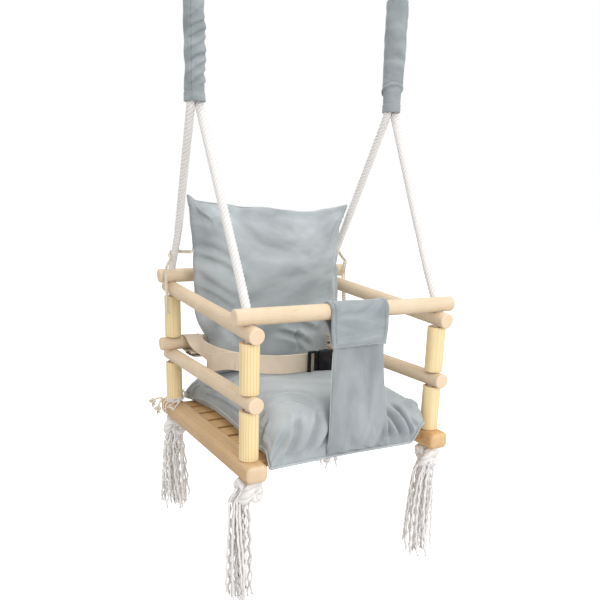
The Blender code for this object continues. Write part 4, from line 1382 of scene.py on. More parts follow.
@dataclass(frozen=True)
class Tassel:
    """A rope's end, unlaid into crimped yarns that fray at their tips."""

    word: str
    end_word: str
    yarn: Material
    spread: float
    yarns: int = 33
    hairs: int = 4
    root: float = 0.0135
    flare: float = 0.004
    rings: Point = (1.0, 0.62, 0.28)
    drops: Point = (0.80, 0.985)
    crimps: Point = (0.0004, 0.0016)
    pitches: Point = (0.013, 0.034)
    push: Point = (-0.014, 0.007)
    strand: Lay = Lay(0.0021, 2, 0.013, 10, 0.0022, 0.92)
    hair: Lay = Lay(0.0005, 2, 0.004, 5, 0.0022, 0.8)

    @property
    def aside(self) -> bool:
        """Whether it is the left front tassel, which is pushed well to one side."""
        return (self.word, self.end_word) == ("left", "front")

    def yarn_line(self, rng: np.random.Generator, number: int) -> np.ndarray:
        """The way of one yarn.

        Args:
            rng: Where its chance comes from.
            number: Which yarn.

        Returns:
            Rows of positions.
        """
        node = f"tassel_{self.end_word}_{self.word}"
        (middle, size), top = node_place(node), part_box(node)[1].z
        count = len(self.rings)
        turn = 2 * math.pi * (number / self.yarns * count + rng.uniform(-0.05, 0.05))
        ring = self.rings[number % count]
        reach = (size[0] / 2 + self.flare) * self.spread * ring * rng.uniform(0.8, 1.0)
        drop = size[2] * rng.uniform(*self.drops)
        share = np.linspace(0, 1, 90)
        out = self.root * ring + (reach - self.root * ring) * share ** rng.uniform(0.3, 0.7)
        crimp, pitch = rng.uniform(*self.crimps), rng.uniform(*self.pitches)
        spin = 2 * math.pi * drop * share / pitch + rng.uniform(0, 6.3)
        swing = turn + rng.uniform(-0.5, 0.5) * share + 0.12 * np.sin(5 * share + rng.uniform(0, 6.3))
        fade = smooth_step(share, 0.0, 0.08)
        x = out * np.cos(swing) + crimp * fade * np.cos(spin)
        y = out * np.sin(swing) + crimp * fade * np.sin(spin)
        rise = 0.026 if self.aside else 0.008
        lean = 0.2 * smooth_step(share, 0.0, 0.18)
        if self.aside:
            lean = 0.35 + 0.65 * smooth_step(share, 0.0, 0.13)
        return np.stack([middle[0] + x + self.push[0] * lean, middle[1] + y + self.push[1] * lean,
                         top + rise - (drop + rise) * share], 1)

    def thinned(self, share: np.ndarray) -> np.ndarray:
        """How much of its girth a yarn keeps along it: it thins at its tip."""
        return 1 - 0.35 * smooth_step(share, 0.965, 1.0)

    def frayed(self, rng: np.random.Generator, tip: np.ndarray, floor_z: float) -> np.ndarray:
        """Rings of one loose fibre at a yarn's tip.

        Args:
            rng: Where its chance comes from.
            tip: The yarn's tip.
            floor_z: The least height that it reaches.

        Returns:
            Rows of rings.
        """
        way = rng.normal(size=3) * (0.0022, 0.0022, 0.0006) + (0, 0, -0.0045)
        root = tip + rng.normal(size=3) * (0.0006, 0.0006, 0)
        end = root + way * rng.uniform(0.8, 1.5)
        end[2] = max(end[2], floor_z)
        curl = (root + end) / 2 + rng.normal(size=3) * 0.0005
        return self.hair.rings(rounded(np.array([root, curl, end])))

    def build(self) -> Object:
        """Builds the tassel.

        Returns:
            The piece.
        """
        rng = np.random.default_rng(40 + SIDES[self.word] + 3 * ENDS[self.end_word])
        floor_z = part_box(f"tassel_{self.end_word}_{self.word}")[0].z + 0.0005
        cords = []
        for number in range(self.yarns):
            path = self.yarn_line(rng, number)
            cords.append(self.strand.rings(path, turn=rng.uniform(0, 6), girth=self.thinned))
            cords += [self.frayed(rng, path[-2], floor_z) for _ in range(self.hairs)]
        name = f"tassel_{self.end_word}_{self.word}"
        tassel = self.strand.bundle(f"yarn_{name}", cords, self.yarn)
        return placed(tassel, "seat", name)


TASSEL_SPREAD = {("front", "left"): 0.70, ("rear", "left"): 1.08,
                 ("front", "right"): 0.88, ("rear", "right"): 1.20}


@dataclass(frozen=True)
class Rigging:
    """The two ropes with their rings, whippings, sleeves, knots and tassels."""

    run: RopeRun
    cotton: Material
    bight: Material
    yarn: Material
    velvet: Material
    steel: Material
    crowns: float = 1.15

    def rope(self, word: str) -> None:
        """One laid rope, its strands' crowns standing out past the CAD's plain round.

        Args:
            word: Which side.
        """
        side = SIDES[word]
        path = self.run.whole(side)
        lay = Lay(self.run.radius * self.crowns, 5, pitch=0.034, sides=50, step=0.0013, fill=0.92)
        rope = lay.build(f"laid_rope_{word}", path, self.cotton, turn=0.4 * side)
        placed(rope, "seat", f"rope_{word}")
        line = resample(path, lay.step)

    def ring(self, word: str) -> None:
        """A welded steel ring in the rope's eye.

        Args:
            word: Which side.
        """
        centre, size = node_place(f"ring_{word}")
        wire = size[1] / 2
        reach = size[0] / 2 - wire
        turns, theta = circle(128), circle(28)
        weld = 1 + 0.09 * ridge(turns - 0.5 * math.pi, 0.09)
        out = reach + wire * weld[:, None] * np.cos(theta)
        rings = np.stack([out * np.cos(turns)[:, None], (wire * weld)[:, None] * np.sin(theta),
                          out * np.sin(turns)[:, None]], -1)
        points, faces, uv = skin(rings + centre, close=True)
        ring = outward(mesh_object(f"wire_ring_{word}", points, faces, self.steel, uv=uv))
        placed(ring, "rings", f"ring_{word}")

    def whipping(self, word: str) -> None:
        """Twine wound round both legs under the eye.

        Args:
            word: Which side.
        """
        side, turns, twine = SIDES[word], 6.4, 0.00115
        t = np.linspace(0, 1, 460)
        angle = 2 * math.pi * turns * t
        reach = self.run.radius + twine + GAP
        y = reach * np.sin(angle) + self.run.spacing / 2 * np.tanh(3 * np.sin(angle))
        z = self.run.whipping_z + twine + (self.run.whipping_height - 2 * twine) * t
        path = np.stack([side * self.run.hang_x + reach * np.cos(angle), self.run.hang_y + y, z], 1) + DATUM
        lay = Lay(twine, 2, pitch=0.006, sides=12, step=0.0012)
        made = lay.build(f"twine_whipping_{word}", path, self.yarn, hint=(0, 0, 1))
        placed(made, "seat", f"eye_whipping_{word}")

    def knot(self, word: str, end_word: str) -> None:
        """A stopper knot of the rope itself, drawn up under the beam.

        Args:
            word: Which side.
            end_word: Front or rear.
        """
        side, end = SIDES[word], ENDS[end_word]
        centre, size = node_place(f"knot_{end_word}_{word}")
        strand, spill = 0.0084, 0.0040
        t = np.linspace(0, 2 * math.pi, 420)
        wide = (size[0] / 2 + spill - strand) / 3.0
        tall = size[2] / 2 - strand
        turned = 0.9 * side + 1.7 * end
        x = wide * (np.sin(t) + 2 * np.sin(2 * t))
        y = wide * (np.cos(t) - 2 * np.cos(2 * t))
        z = tall * -np.sin(3 * t)
        loop = np.stack([x * math.cos(turned) - y * math.sin(turned),
                         x * math.sin(turned) + y * math.cos(turned), z], 1)
        lay = Lay(strand, 3, pitch=0.040, sides=30, step=0.0016, fill=0.88)
        neck = np.array([(side * HOLE_X, end * HOLE_Y, -BEAM_HEIGHT - drop) for drop in (0.0002, 0.022)])
        cords = [lay.rings(loop[:-3] + centre, hint=(0, 0, 1)), lay.rings(neck + DATUM)]
        knot = lay.bundle(f"rope_knot_{end_word}_{word}", cords, self.bight)
        placed(knot, "seat", f"knot_{end_word}_{word}")

    def build(self) -> None:
        """Builds both sides."""
        for word in SIDES:
            self.rope(word)
            self.ring(word)
            self.whipping(word)
            Sleeve(self.run, word, self.velvet).build()
            for end_word in ENDS:
                self.knot(word, end_word)
                Tassel(word, end_word, self.yarn, TASSEL_SPREAD[end_word, word]).build()
            LOG.info("rope %s with its ring, sleeve, knots and tassels", word)


# Timber


@dataclass(frozen=True)
class Timber:
    """The dowels, posts, beams and slats that the ropes hold together."""

    run: RopeRun
    rail: Sequence[Material]
    rail_end: Material
    posts: Sequence[Material]
    post_end: Material
    beams: Sequence[Material]
    beam_ends: Sequence[Material]
    slats: Sequence[Material]
    slat_side_shade: Material
    overhang: float = 0.025
    tilt_share: float = 0.07
    easing: float = 0.0019
    post_easing: float = 0.0012
    bore_easing: float = 0.0008
    housing: float = 0.008
    around: int = 72

    def bar_rings(self, radius: float, length: float) -> np.ndarray:
        """Rings of a round bar about Z with eased ends.

        Args:
            radius: The bar's radius.
            length: The bar's length.

        Returns:
            Rows of rings.
        """
        turn = np.linspace(0, math.pi / 2, 6)
        ease = self.easing
        out = np.concatenate([[radius * 0.55, radius - 1.6 * ease], radius - ease + ease * np.sin(turn)])
        up = np.concatenate([[0.0, 0.0], ease * (1 - np.cos(turn))])
        middle = np.linspace(0.02, 0.98, 9)
        out = np.concatenate([out, np.full(9, radius), out[::-1]])
        up = np.concatenate([up - length / 2, (middle - 0.5) * length, length / 2 - up[::-1]])
        return lathed(out, up, self.around)

    def ends_marked(self, obj: Object, axis: int, end: Material) -> None:
        """Gives the faces that look along one axis of a piece a finish of their own.

        Args:
            obj: The piece.
            axis: The number of the axis.
            end: The finish.
        """
        obj.data.materials.append(end)
        for face in obj.data.polygons:
            if abs(face.normal[axis]) > 0.62:
                face.material_index = 1

    def bar(self, node: str, body: str, finish: Material, turn: Point, bores: Sequence[tuple]) -> None:
        """A bored dowel in a node's place.

        Args:
            node: The CAD node it stands for.
            body: The body it rides on.
            finish: Its face finish.
            turn: How it is turned from upright.
            bores: Place and turn of each rope hole.
        """
        middle, size = node_place(node)
        length = size[0]
        if turn[1] == 0:
            length = 2 * (HOLE_Y + self.overhang) / math.cos(turn[0] + math.pi / 2)
        points, faces, _ = skin(self.bar_rings(DOWEL_R, length), caps=True)
        obj = outward(mesh_object(f"dowel_{node}", points, faces, finish))
        obj.location, obj.rotation_euler = middle, turn
        bpy.context.view_layer.update()
        cut_with(obj, [pin(f"bore_{i}", BORE_R, 0.06, at, way) for i, (at, way) in enumerate(bores)])
        self.ends_marked(obj, 2, self.rail_end)
        placed(obj, body, node)

    def cross_bars(self) -> None:
        """The front bar and the two back bars."""
        bars = (("front_bar", -1, "front_bar"), ("back_top_bar", 1, "seat"), ("back_mid_bar", 1, "seat"))
        for number, (node, end, body) in enumerate(bars):
            bores = []
            for side in SIDES.values():
                # The rope runs upright through the back mid bar, and bends in the two others
                if node == "back_mid_bar":
                    z = node_place(node)[0][2] - DATUM[2]
                    bores.append(((side * HOLE_X, end * HOLE_Y, z), (0, 0, 0)))
                    continue
                way = self.run.leg_way(side, end)
                at = np.array((side * HOLE_X, end * HOLE_Y, self.run.bends[end > 0])) + way * DOWEL_R
                bores.append((at, (-math.atan2(way[1], way[2]), 0, 0)))
            self.bar(node, body, self.rail[number % len(self.rail)], (0, math.pi / 2, 0), bores)

    def side_rails(self) -> None:
        """The rising top rail and the level middle rail of each side."""
        run = 2 * (HOLE_Y + self.overhang) - 2 * DOWEL_R * self.tilt_share
        for word, side in SIDES.items():
            for number, level in enumerate(("top", "mid")):
                node = f"side_{level}_rail_{word}"
                middle, size = node_place(node)
                rise = math.atan2(size[2] - 2 * DOWEL_R, run) if level == "top" else 0.0
                bores = []
                for end in ENDS.values():
                    z = middle[2] - DATUM[2] + end * HOLE_Y * math.tan(rise)
                    bores.append(((side * HOLE_X, end * HOLE_Y, z), (0, 0, 0)))
                finish = self.rail[(number + side) % len(self.rail)]
                self.bar(node, "seat", finish, (-math.pi / 2 + rise, 0, 0), bores)

    def post_sticks(self) -> None:
        """The eight short posts, each with a slightly eased rim."""
        ease, wall = self.bore_easing, self.post_easing
        turn = np.linspace(0, math.pi / 2, 4)
        out = np.concatenate([[BORE_R + ease, POST_R - 2.2 * wall], POST_R - wall + wall * np.sin(turn)])
        up = np.concatenate([[0, 0], wall * (1 - np.cos(turn))])
        middle = POST_LENGTH * np.linspace(0.1, 0.9, 7)
        out = np.concatenate([[BORE_R], out, [POST_R] * 7, out[::-1], [BORE_R]])
        up = np.concatenate([[ease], up, middle, POST_LENGTH - up[::-1], [POST_LENGTH - ease]])
        points, faces, _ = skin(lathed(out, up, self.around), close=True)
        places = itertools.product(SIDES, ENDS, ("lower", "upper"))
        for number, (word, end_word, level) in enumerate(places):
            node = f"{level}_post_{end_word}_{word}"
            finish = self.posts[number % len(self.posts)]
            obj = outward(mesh_object(f"turned_{node}", points, faces, finish, sharp=50))
            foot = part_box(node)[0].z - DATUM[2]
            obj.location = DATUM + np.array((SIDES[word] * HOLE_X, ENDS[end_word] * HOLE_Y, foot))
            self.ends_marked(obj, 2, self.post_end)
            placed(obj, "seat", node)

    def beam(self, index: int, word: str) -> None:
        """One beam, bored for the rope's legs and housed for the slats.

        Args:
            index: The number of its finish.
            word: Which side.
        """
        side = SIDES[word]
        middle, size = node_place(f"base_beam_{word}")
        centre = middle - DATUM
        laid = (size[0], size[2], size[1])
        obj = rounded_box(f"beam_{word}", laid, 0.0090, 8, self.beams[index], at=centre)
        obj.rotation_euler = (-math.pi / 2, 0, 0)
        bpy.context.view_layer.update()
        cutters = [pin(f"beam_bore_{end}", BORE_R, 0.05, (side * HOLE_X, end * HOLE_Y, centre[2]))
                   for end in ENDS.values()]
        for number in SLATS:
            at, room = node_place(f"slat_{number}")
            at, room = at - DATUM, room + 2 * GAP
            at[0] = side * (HOLE_X - BEAM_WIDTH / 2)
            room[0] = 2 * (self.housing + GAP)
            cutters.append(rounded_box(f"beam_housing_{number}", room, 0.0004, 1, at=at))
        cut_with(obj, cutters)
        self.ends_marked(obj, 2, self.beam_ends[index])
        placed(obj, "seat", f"base_beam_{word}")

    def slat(self, number: int) -> None:
        """One slat, its top and ends in one finish and its long sides in a darker copy of the pine, painted
        shade for the gaps between slats.

        Args:
            number: Which slat.
        """
        middle, size = node_place(f"slat_{number}")
        finish = self.slats[number % len(self.slats)]
        laid = (size[1], size[2], size[0])
        obj = rounded_box(f"board_slat_{number}", laid, 0.0012, 3, finish, at=middle - DATUM)
        obj.rotation_euler = (math.pi / 2, 0, math.pi / 2)
        # The long sides take the darker pine: painted shade in the gaps between slats.
        self.ends_marked(obj, 0, self.slat_side_shade)
        placed(obj, "seat", f"slat_{number}")

    def build(self) -> None:
        """Builds all the timber."""
        self.cross_bars()
        self.side_rails()
        self.post_sticks()
        for index, word in enumerate(SIDES):
            self.beam(index, word)
        for number in SLATS:
            self.slat(number)
        LOG.info("timber: dowels, posts, beams and slats")


# Soft goods


def through(points: Sequence[Point], step: float) -> np.ndarray:
    """A smooth line through every point.

    Args:
        points: The points.
        step: About how far apart the line's own points lie.

    Returns:
        Rows of positions.
    """
    spots = np.asarray(points, float)
    spots = np.concatenate([2 * spots[:1] - spots[1:2], spots, 2 * spots[-1:] - spots[-2:-1]])
    out = []
    for a, b, c, d in zip(spots, spots[1:], spots[2:], spots[3:]):
        reach = np.linalg.norm(c - b)
        early = reach * unit(c - a)
        late = reach * unit(d - b)
        t = np.linspace(0, 1, 12, endpoint=False)[:, None]
        out.append((2 * t ** 3 - 3 * t ** 2 + 1) * b + (t ** 3 - 2 * t ** 2 + t) * early
                   + (-2 * t ** 3 + 3 * t ** 2) * c + (t ** 3 - t ** 2) * late)
    out.append(spots[-2:-1])
    return resample(np.concatenate(out), step)


def tube(path: np.ndarray, radius: float, sides: int = 10, hint: Point = (0.1, 0.2, 1)) -> np.ndarray:
    """Rings of a round tube along a line, closed in at its ends.

    Args:
        path: The line.
        radius: The tube's radius.
        sides: Points round it.
        hint: Any way that doesn't lie along its start.

    Returns:
        Rows of rings.
    """
    across, over = carried_frames(path, hint)
    theta = circle(sides)[:, None]
    size = np.full(len(path), radius)
    size[[0, -1]] *= 0.35
    ring = across[:, None] * np.cos(theta) + over[:, None] * np.sin(theta)
    return path[:, None] + size[:, None, None] * ring


def joined(name: str, tubes: Sequence[np.ndarray], finish: Material, length: float = 0.01) -> Object:
    """Several round tubes as one piece."""
    return bundled(name, tubes, [length] * len(tubes), finish)


def stitches(name: str, path: np.ndarray, normal: np.ndarray, finish: Material, length: float = 0.0028,
             gap: float = 0.0009, radius: float = 0.00042) -> Object:
    """A line of sewn stitches lying on a surface.

    Args:
        name: The piece's name.
        path: The line that they follow.
        normal: The surface's normal at each point of the line.
        finish: The thread.
        length: One stitch.
        gap: Between two stitches.
        radius: The thread's.

    Returns:
        The piece.
    """
    along = run_along(path)
    made = []
    for start in np.arange(gap, along[-1] - length, length + gap):
        at = start + length * np.array((0, 0.18, 0.5, 0.82, 1.0))
        lift = radius * np.array((-0.6, 0.35, 0.7, 0.35, -0.6))
        line = np.stack([np.interp(at, along, path[:, k]) for k in range(3)], 1)
        up = np.stack([np.interp(at, along, normal[:, k]) for k in range(3)], 1)
        made.append(tube(line + up * lift[:, None], radius, 6, up[0]))
    return joined(name, made, finish)


@dataclass(frozen=True)
class Crease:
    """One fold in a stuffed cover, from one point to another of a flat view of it, in metres."""

    start: tuple[float, float]
    stop: tuple[float, float]
    depth: float
    width: float
    bow: float = 0.0
    lean: float = 0.0

    def depth_at(self, spots: np.ndarray) -> np.ndarray:
        """How far the fold moves the cover: in along its line, out beside it.

        Args:
            spots: Places in the flat view.

        Returns:
            One move for each place, out of the cover.
        """
        a, b = np.array(self.start), np.array(self.stop)
        run = b - a
        length = np.linalg.norm(run)
        way = run / length
        share = ((spots - a) @ way) / length
        off = (spots - a) @ np.array((-way[1], way[0])) - self.bow * 4 * share * (1 - share)
        fade = smooth_step(share, -0.08, 0.22) * (1 - smooth_step(share, 0.70, 1.08))
        groove = -ridge(off, self.width * (1 + self.lean * np.sign(off)))
        beside = 0.75 * ridge(off - 1.9 * self.width, 1.3 * self.width)
        beside = beside + 0.45 * ridge(off + 1.9 * self.width, 1.4 * self.width)
        return self.depth * fade * (groove + beside)


@dataclass(frozen=True)
class Stuffed:
    """A stuffed velvet cover: a crowned closed form inflated as cloth, with puckered seams and creases."""

    velvet: Material
    around: int = 132
    coarse: int = 54
    cap: float = 0.009
    rim: float = 0.0016

    def spread(self, count: int) -> np.ndarray:
        """Even places from -1 to 1 that crowd towards the seams."""
        t = np.linspace(-1, 1, count + 1)
        return 0.35 * t + 0.65 * np.sin(math.pi / 2 * t)

    def form(self, u: np.ndarray, v: np.ndarray, face: int) -> np.ndarray:
        """The plain form at u, v from -1 to 1."""
        raise NotImplementedError

    def grids(self, count: int) -> list[np.ndarray]:
        """Both faces' grids of positions."""
        u, v = np.meshgrid(self.spread(count), self.spread(count), indexing="ij")
        return [self.form(u, v, face) for face in (1, -1)]

    def closed(self, grids: Sequence[np.ndarray]) -> tuple[np.ndarray, list]:
        """Sews both faces together round their rim.

        Args:
            grids: Both faces' grids of positions.

        Returns:
            Rows of positions, and rows of point numbers.
        """
        count = grids[0].shape[0] - 1
        faces, points = [], np.concatenate([grid.reshape(-1, 3) for grid in grids])
        low = (count + 1) ** 2
        for face, base in ((1, 0), (-1, low)):
            _, quads, _ = skin(grids[0], wrap=False)
            faces += [tuple(k + base for k in (quad if face < 0 else quad[::-1])) for quad in quads]
        edge = [i * (count + 1) for i in range(count)]
        edge += [count * (count + 1) + j for j in range(count)]
        edge += [i * (count + 1) + count for i in range(count, 0, -1)]
        edge += list(range(count, 0, -1))
        faces += [(a, b, low + b, low + a) for a, b in zip(edge, edge[1:] + edge[:1])]
        return points, faces

    def swollen(self, pressure: float, slack: float, frames: int = 22) -> list[np.ndarray]:
        """How far each point of the fine grids moves when the cover is inflated as cloth.

        Args:
            pressure: The stuffing's push.
            slack: How much larger the cover is cut than the form.
            frames: How long it is left to settle.

        Returns:
            One grid of moves for each face.
        """
        start = self.grids(self.coarse)
        points, faces = self.closed(start)
        work = outward(mesh_object("cloth_work", points, faces))
        step = work.modifiers.new("inflate", "CLOTH")
        step.settings.quality = 5
        step.settings.mass = 0.25
        step.settings.tension_stiffness, step.settings.compression_stiffness = 12, 8
        step.settings.shear_stiffness, step.settings.bending_stiffness = 4, 0.06
        step.settings.use_pressure, step.settings.uniform_pressure_force = True, pressure
        step.settings.shrink_min = -slack
        step.settings.effector_weights.gravity = 0
        step.collision_settings.use_collision = False
        step.point_cache.frame_start, step.point_cache.frame_end = 1, frames
        scene = bpy.context.scene
        for frame_number in range(1, frames + 1):
            scene.frame_set(frame_number)
        made = evaluated_mesh(work)
        moved = np.empty(len(made.vertices) * 3)
        made.vertices.foreach_get("co", moved)
        bpy.data.objects.remove(work)
        bpy.data.meshes.remove(made)
        scene.frame_set(1)
        shape = (2, self.coarse + 1, self.coarse + 1, 3)
        move = moved.reshape(shape) - points.reshape(shape)
        size = np.linalg.norm(move, axis=-1, keepdims=True)
        move = move / np.maximum(size, 1e-9) * self.cap * np.tanh(size / self.cap)
        near, far = self.spread(self.coarse), self.spread(self.around)
        spot = np.interp(far, near, np.arange(self.coarse + 1))
        low = np.clip(spot.astype(int), 0, self.coarse - 1)
        share = smooth_step(spot - low)
        down, across = share[None, :, None, None], share[None, None, :, None]
        rows = move[:, low] * (1 - down) + move[:, low + 1] * down
        return list(rows[:, :, low] * (1 - across) + rows[:, :, low + 1] * across)

    def normals(self, grid: np.ndarray, face: int) -> np.ndarray:
        """The outward normals of one face's grid."""
        flat = np.cross(np.gradient(grid, axis=0), np.gradient(grid, axis=1))
        return unit(flat) * self.facing(flat, face)

    def facing(self, flat: np.ndarray, face: int) -> float:
        """Which way round the grid's normals look out."""
        raise NotImplementedError

    def puckers(self, grid: np.ndarray, seed: int, depth: float, reach: float, pitch: float) -> np.ndarray:
        """Short gathers that run in from the seams, uneven in size and spacing.

        Args:
            grid: One face's grid of positions.
            seed: What tells one face's gathers from another's.
            depth: How deep they are.
            reach: How far they run in.
            pitch: About how far apart they lie.

        Returns:
            How far each point is moved out.
        """
        count = self.around
        out = np.zeros(grid.shape[:2])
        rng = np.random.default_rng(seed)
        for axis in (0, 1):
            for end in (0, count):
                rim = grid[:, end] if axis else grid[end]
                along = run_along(rim)
                uneven = waves(along[:, None], seed + axis * 2 + (end > 0), 0.045, 4)
                size = 0.55 + 0.45 * waves(along[:, None], seed + 9 + axis * 2 + (end > 0), 0.07, 4)
                fold = np.abs(np.sin(math.pi * along / pitch + 1.1 * uneven + rng.uniform(0, 3))) ** 0.8 - 0.6
                ease = smooth_step(along, 0, 0.02) * smooth_step(along[-1] - along, 0, 0.02)
                run = run_along(grid[count // 2] if axis else grid[:, count // 2])
                far = np.abs(run - run[end])
                fade = smooth_step(far, 0.0002, 0.004) * np.exp(-((far / reach) ** 1.5))
                part = np.outer(fold * ease * np.clip(size, 0.1, 1.4), fade)
                out += depth * (part if axis else part.T)
        return out

    def piping(self, name: str, grids: Sequence[np.ndarray], radius: float, out: float) -> Object:
        """A thin welt along the seam where the two faces meet.

        Args:
            name: The piece's name.
            grids: Both faces' grids of positions.
            radius: The welt's radius.
            out: How far its middle stands out of the seam.

        Returns:
            The piece.
        """
        count = grids[0].shape[0] - 1
        rims = []
        for grid in grids:
            rims.append(np.concatenate([grid[:-1, 0], grid[-1, :-1], grid[:0:-1, -1], grid[0, :0:-1]]))
        middle = (rims[0] + rims[1]) / 2
        away = middle - middle.mean(0)
        way = unit(np.roll(middle, -1, 0) - np.roll(middle, 1, 0))
        rise = unit(rims[0] - rims[1])
        side = unit(np.cross(way, rise))
        side *= np.sign((side * away).sum(-1, keepdims=True))
        path = middle + side * out
        keep = np.concatenate([[True], np.linalg.norm(np.diff(path, axis=0), axis=1) > 1e-5])
        path, side, rise = path[keep], side[keep], rise[keep]
        theta = circle(10)[:, None]
        rings = path[:, None] + radius * (side[:, None] * np.cos(theta) + rise[:, None] * np.sin(theta))
        points, faces, uv = skin(rings, close=True, size=(0.007, count * 0.01))
        welt = outward(mesh_object(name, points, faces, self.velvet, uv=uv))
        welt.location = DATUM
        return placed(welt, "seat")

    def finished(self, name: str, grids: Sequence[np.ndarray], node: str, fill: float) -> Object:
        """The stuffed cover as a piece.

        Args:
            name: The piece's name.
            grids: Both faces' grids of positions.
            node: The CAD node it stands for.
            fill: How firmly it is stuffed; not used.

        Returns:
            The piece.
        """
        points, faces = self.closed(grids)
        cover = outward(mesh_object(name, points + DATUM, faces, self.velvet))
        placed(cover, "seat", node)
        LOG.info("%s", name)
        return cover


@dataclass(frozen=True)
class BackPillow(Stuffed):
    """The back pillow: eared top corners, sagging top edge, a foot drawn in behind the belt."""

    half_x: float = 0.160
    height: float = 0.318
    centre_z: float = 0.2167
    plane_y: float = 0.117
    crown: float = 0.038
    sag: float = 0.055
    waist: float = 0.065
    tuck_top: float = 0.19277
    tuck_run: float = 0.127
    belt_z: float = 0.13367
    belt_inner: float = 0.1285
    top_edge: tuple[tuple[float, float], ...] = (
        (-0.160, 0.008), (-0.147, 0.002), (-0.125, 0.001), (-0.077, 0.0), (0.0, -0.003),
        (0.035, -0.006), (0.067, -0.010), (0.095, -0.011), (0.125, -0.008), (0.160, -0.003))
    folds: tuple[Crease, ...] = (
        Crease((-0.150, 0.300), (-0.080, 0.262), 0.0044, 0.0062, 0.006),
        Crease((-0.152, 0.280), (-0.062, 0.226), 0.0052, 0.0066, 0.008),
        Crease((-0.148, 0.252), (-0.085, 0.204), 0.0046, 0.0060, -0.004),
        Crease((-0.146, 0.222), (-0.092, 0.186), 0.0036, 0.0052, 0.003),
        Crease((-0.150, 0.352), (-0.095, 0.310), 0.0042, 0.0070, 0.008),
        Crease((-0.152, 0.372), (-0.070, 0.340), 0.0034, 0.0085, 0.010),
        Crease((0.158, 0.362), (0.085, 0.318), 0.0040, 0.0080, -0.008),
        Crease((0.152, 0.330), (0.100, 0.276), 0.0036, 0.0070, -0.006),
        Crease((0.155, 0.262), (0.098, 0.240), 0.0034, 0.0056, 0.004),
        Crease((0.014, 0.156), (0.100, 0.128), 0.0070, 0.0056, 0.004, 0.3),
        Crease((0.000, 0.138), (0.084, 0.100), 0.0080, 0.0052, 0.006, 0.3),
        Crease((0.038, 0.148), (0.050, 0.096), 0.0070, 0.0046, 0.002, 0.3),
        Crease((0.118, 0.210), (0.084, 0.125), 0.0036, 0.0060, 0.004),
        Crease((-0.112, 0.182), (-0.070, 0.118), 0.0036, 0.0060, -0.004),
        Crease((-0.040, 0.350), (0.075, 0.322), 0.0034, 0.0100, -0.012),
        Crease((-0.060, 0.200), (0.020, 0.222), 0.0020, 0.0120, 0.010),
        Crease((0.000, 0.280), (0.085, 0.305), 0.0024, 0.0110, 0.008))

    def drawn_in(self, z: np.ndarray, side: int) -> np.ndarray:
        """How far the belt has drawn the pillow in at a height, from 0 above it to 1 at its foot."""
        top, run = ((self.tuck_top, self.tuck_run), (0.168, 0.082))[side > 0]
        return smooth_step((top - z) / run)

    def waisted(self, share: np.ndarray) -> np.ndarray:
        """Half the width of the plain cover, for a height from -1 to 1."""
        return self.half_x * (1 - self.waist * (1 - share * share))

    def half(self, v: np.ndarray, side: int = -1) -> np.ndarray:
        """Half the width, the right side fuller above the belt.

        Args:
            v: The height, from -1 to 1.
            side: -1 for the left half, 1 for the right.

        Returns:
            Half the width at each height.
        """
        at_belt = self.waisted((self.belt_z - self.centre_z) / (self.height / 2))
        belt = self.drawn_in(self.belt_z, side)
        tuck = (at_belt - self.belt_inner) / belt
        share = self.drawn_in(self.centre_z + v * self.height / 2, side)
        held = (0.65, 1.0)[side > 0] * belt + (0.35, 0.0)[side > 0] * share
        bulge = 0.006 * (side > 0) * ridge(v + 0.15, 0.42)
        return self.waisted(v) + bulge - tuck * np.where(share < belt, share, held)

    def form(self, u: np.ndarray, v: np.ndarray, face: int) -> np.ndarray:
        """The pillow standing on edge, its back against the top bar.

        Args:
            u: The place across, from -1 to 1.
            v: The height, from -1 to 1.
            face: 1 for the front, -1 for the back.

        Returns:
            Positions, in the seat's frame.
        """
        sag = np.where(v > 0, self.sag * (1 - u * u), 0.0)
        high = smooth_step(v, 0.35, 1.0)
        lift = np.interp(u * self.half_x, *np.array(self.top_edge).T) * high
        z = self.centre_z + v * self.height / 2 * (1 - sag) + lift
        full = np.sqrt(np.maximum(0, (1 - np.abs(u) ** 3.0) * (1 - np.abs(v) ** 3.0)))
        reach = self.crown * full
        if face < 0:
            stop = HOLE_Y - DOWEL_R - GAP - self.rim - self.plane_y
            reach = stop - np.log1p(np.exp(np.clip((stop - reach) * 900, -50, 50))) / 900
            reach = np.clip(np.maximum(reach, 0), 0, stop)
        ears = smooth_step(v, 0.72, 1.0) * smooth_step(np.abs(u), 0.7, 1.0)
        x = np.where(u > 0, u * self.half(v, 1), u * self.half(v))
        x = x + np.where(u > 0, 0.010, -0.001) * ears
        return np.stack([x, self.plane_y - face * (self.rim + reach), z], -1)

    def facing(self, flat: np.ndarray, face: int) -> float:
        """The front looks towards -Y."""
        return -face * float(np.sign(flat[..., 1].sum()) or 1.0)

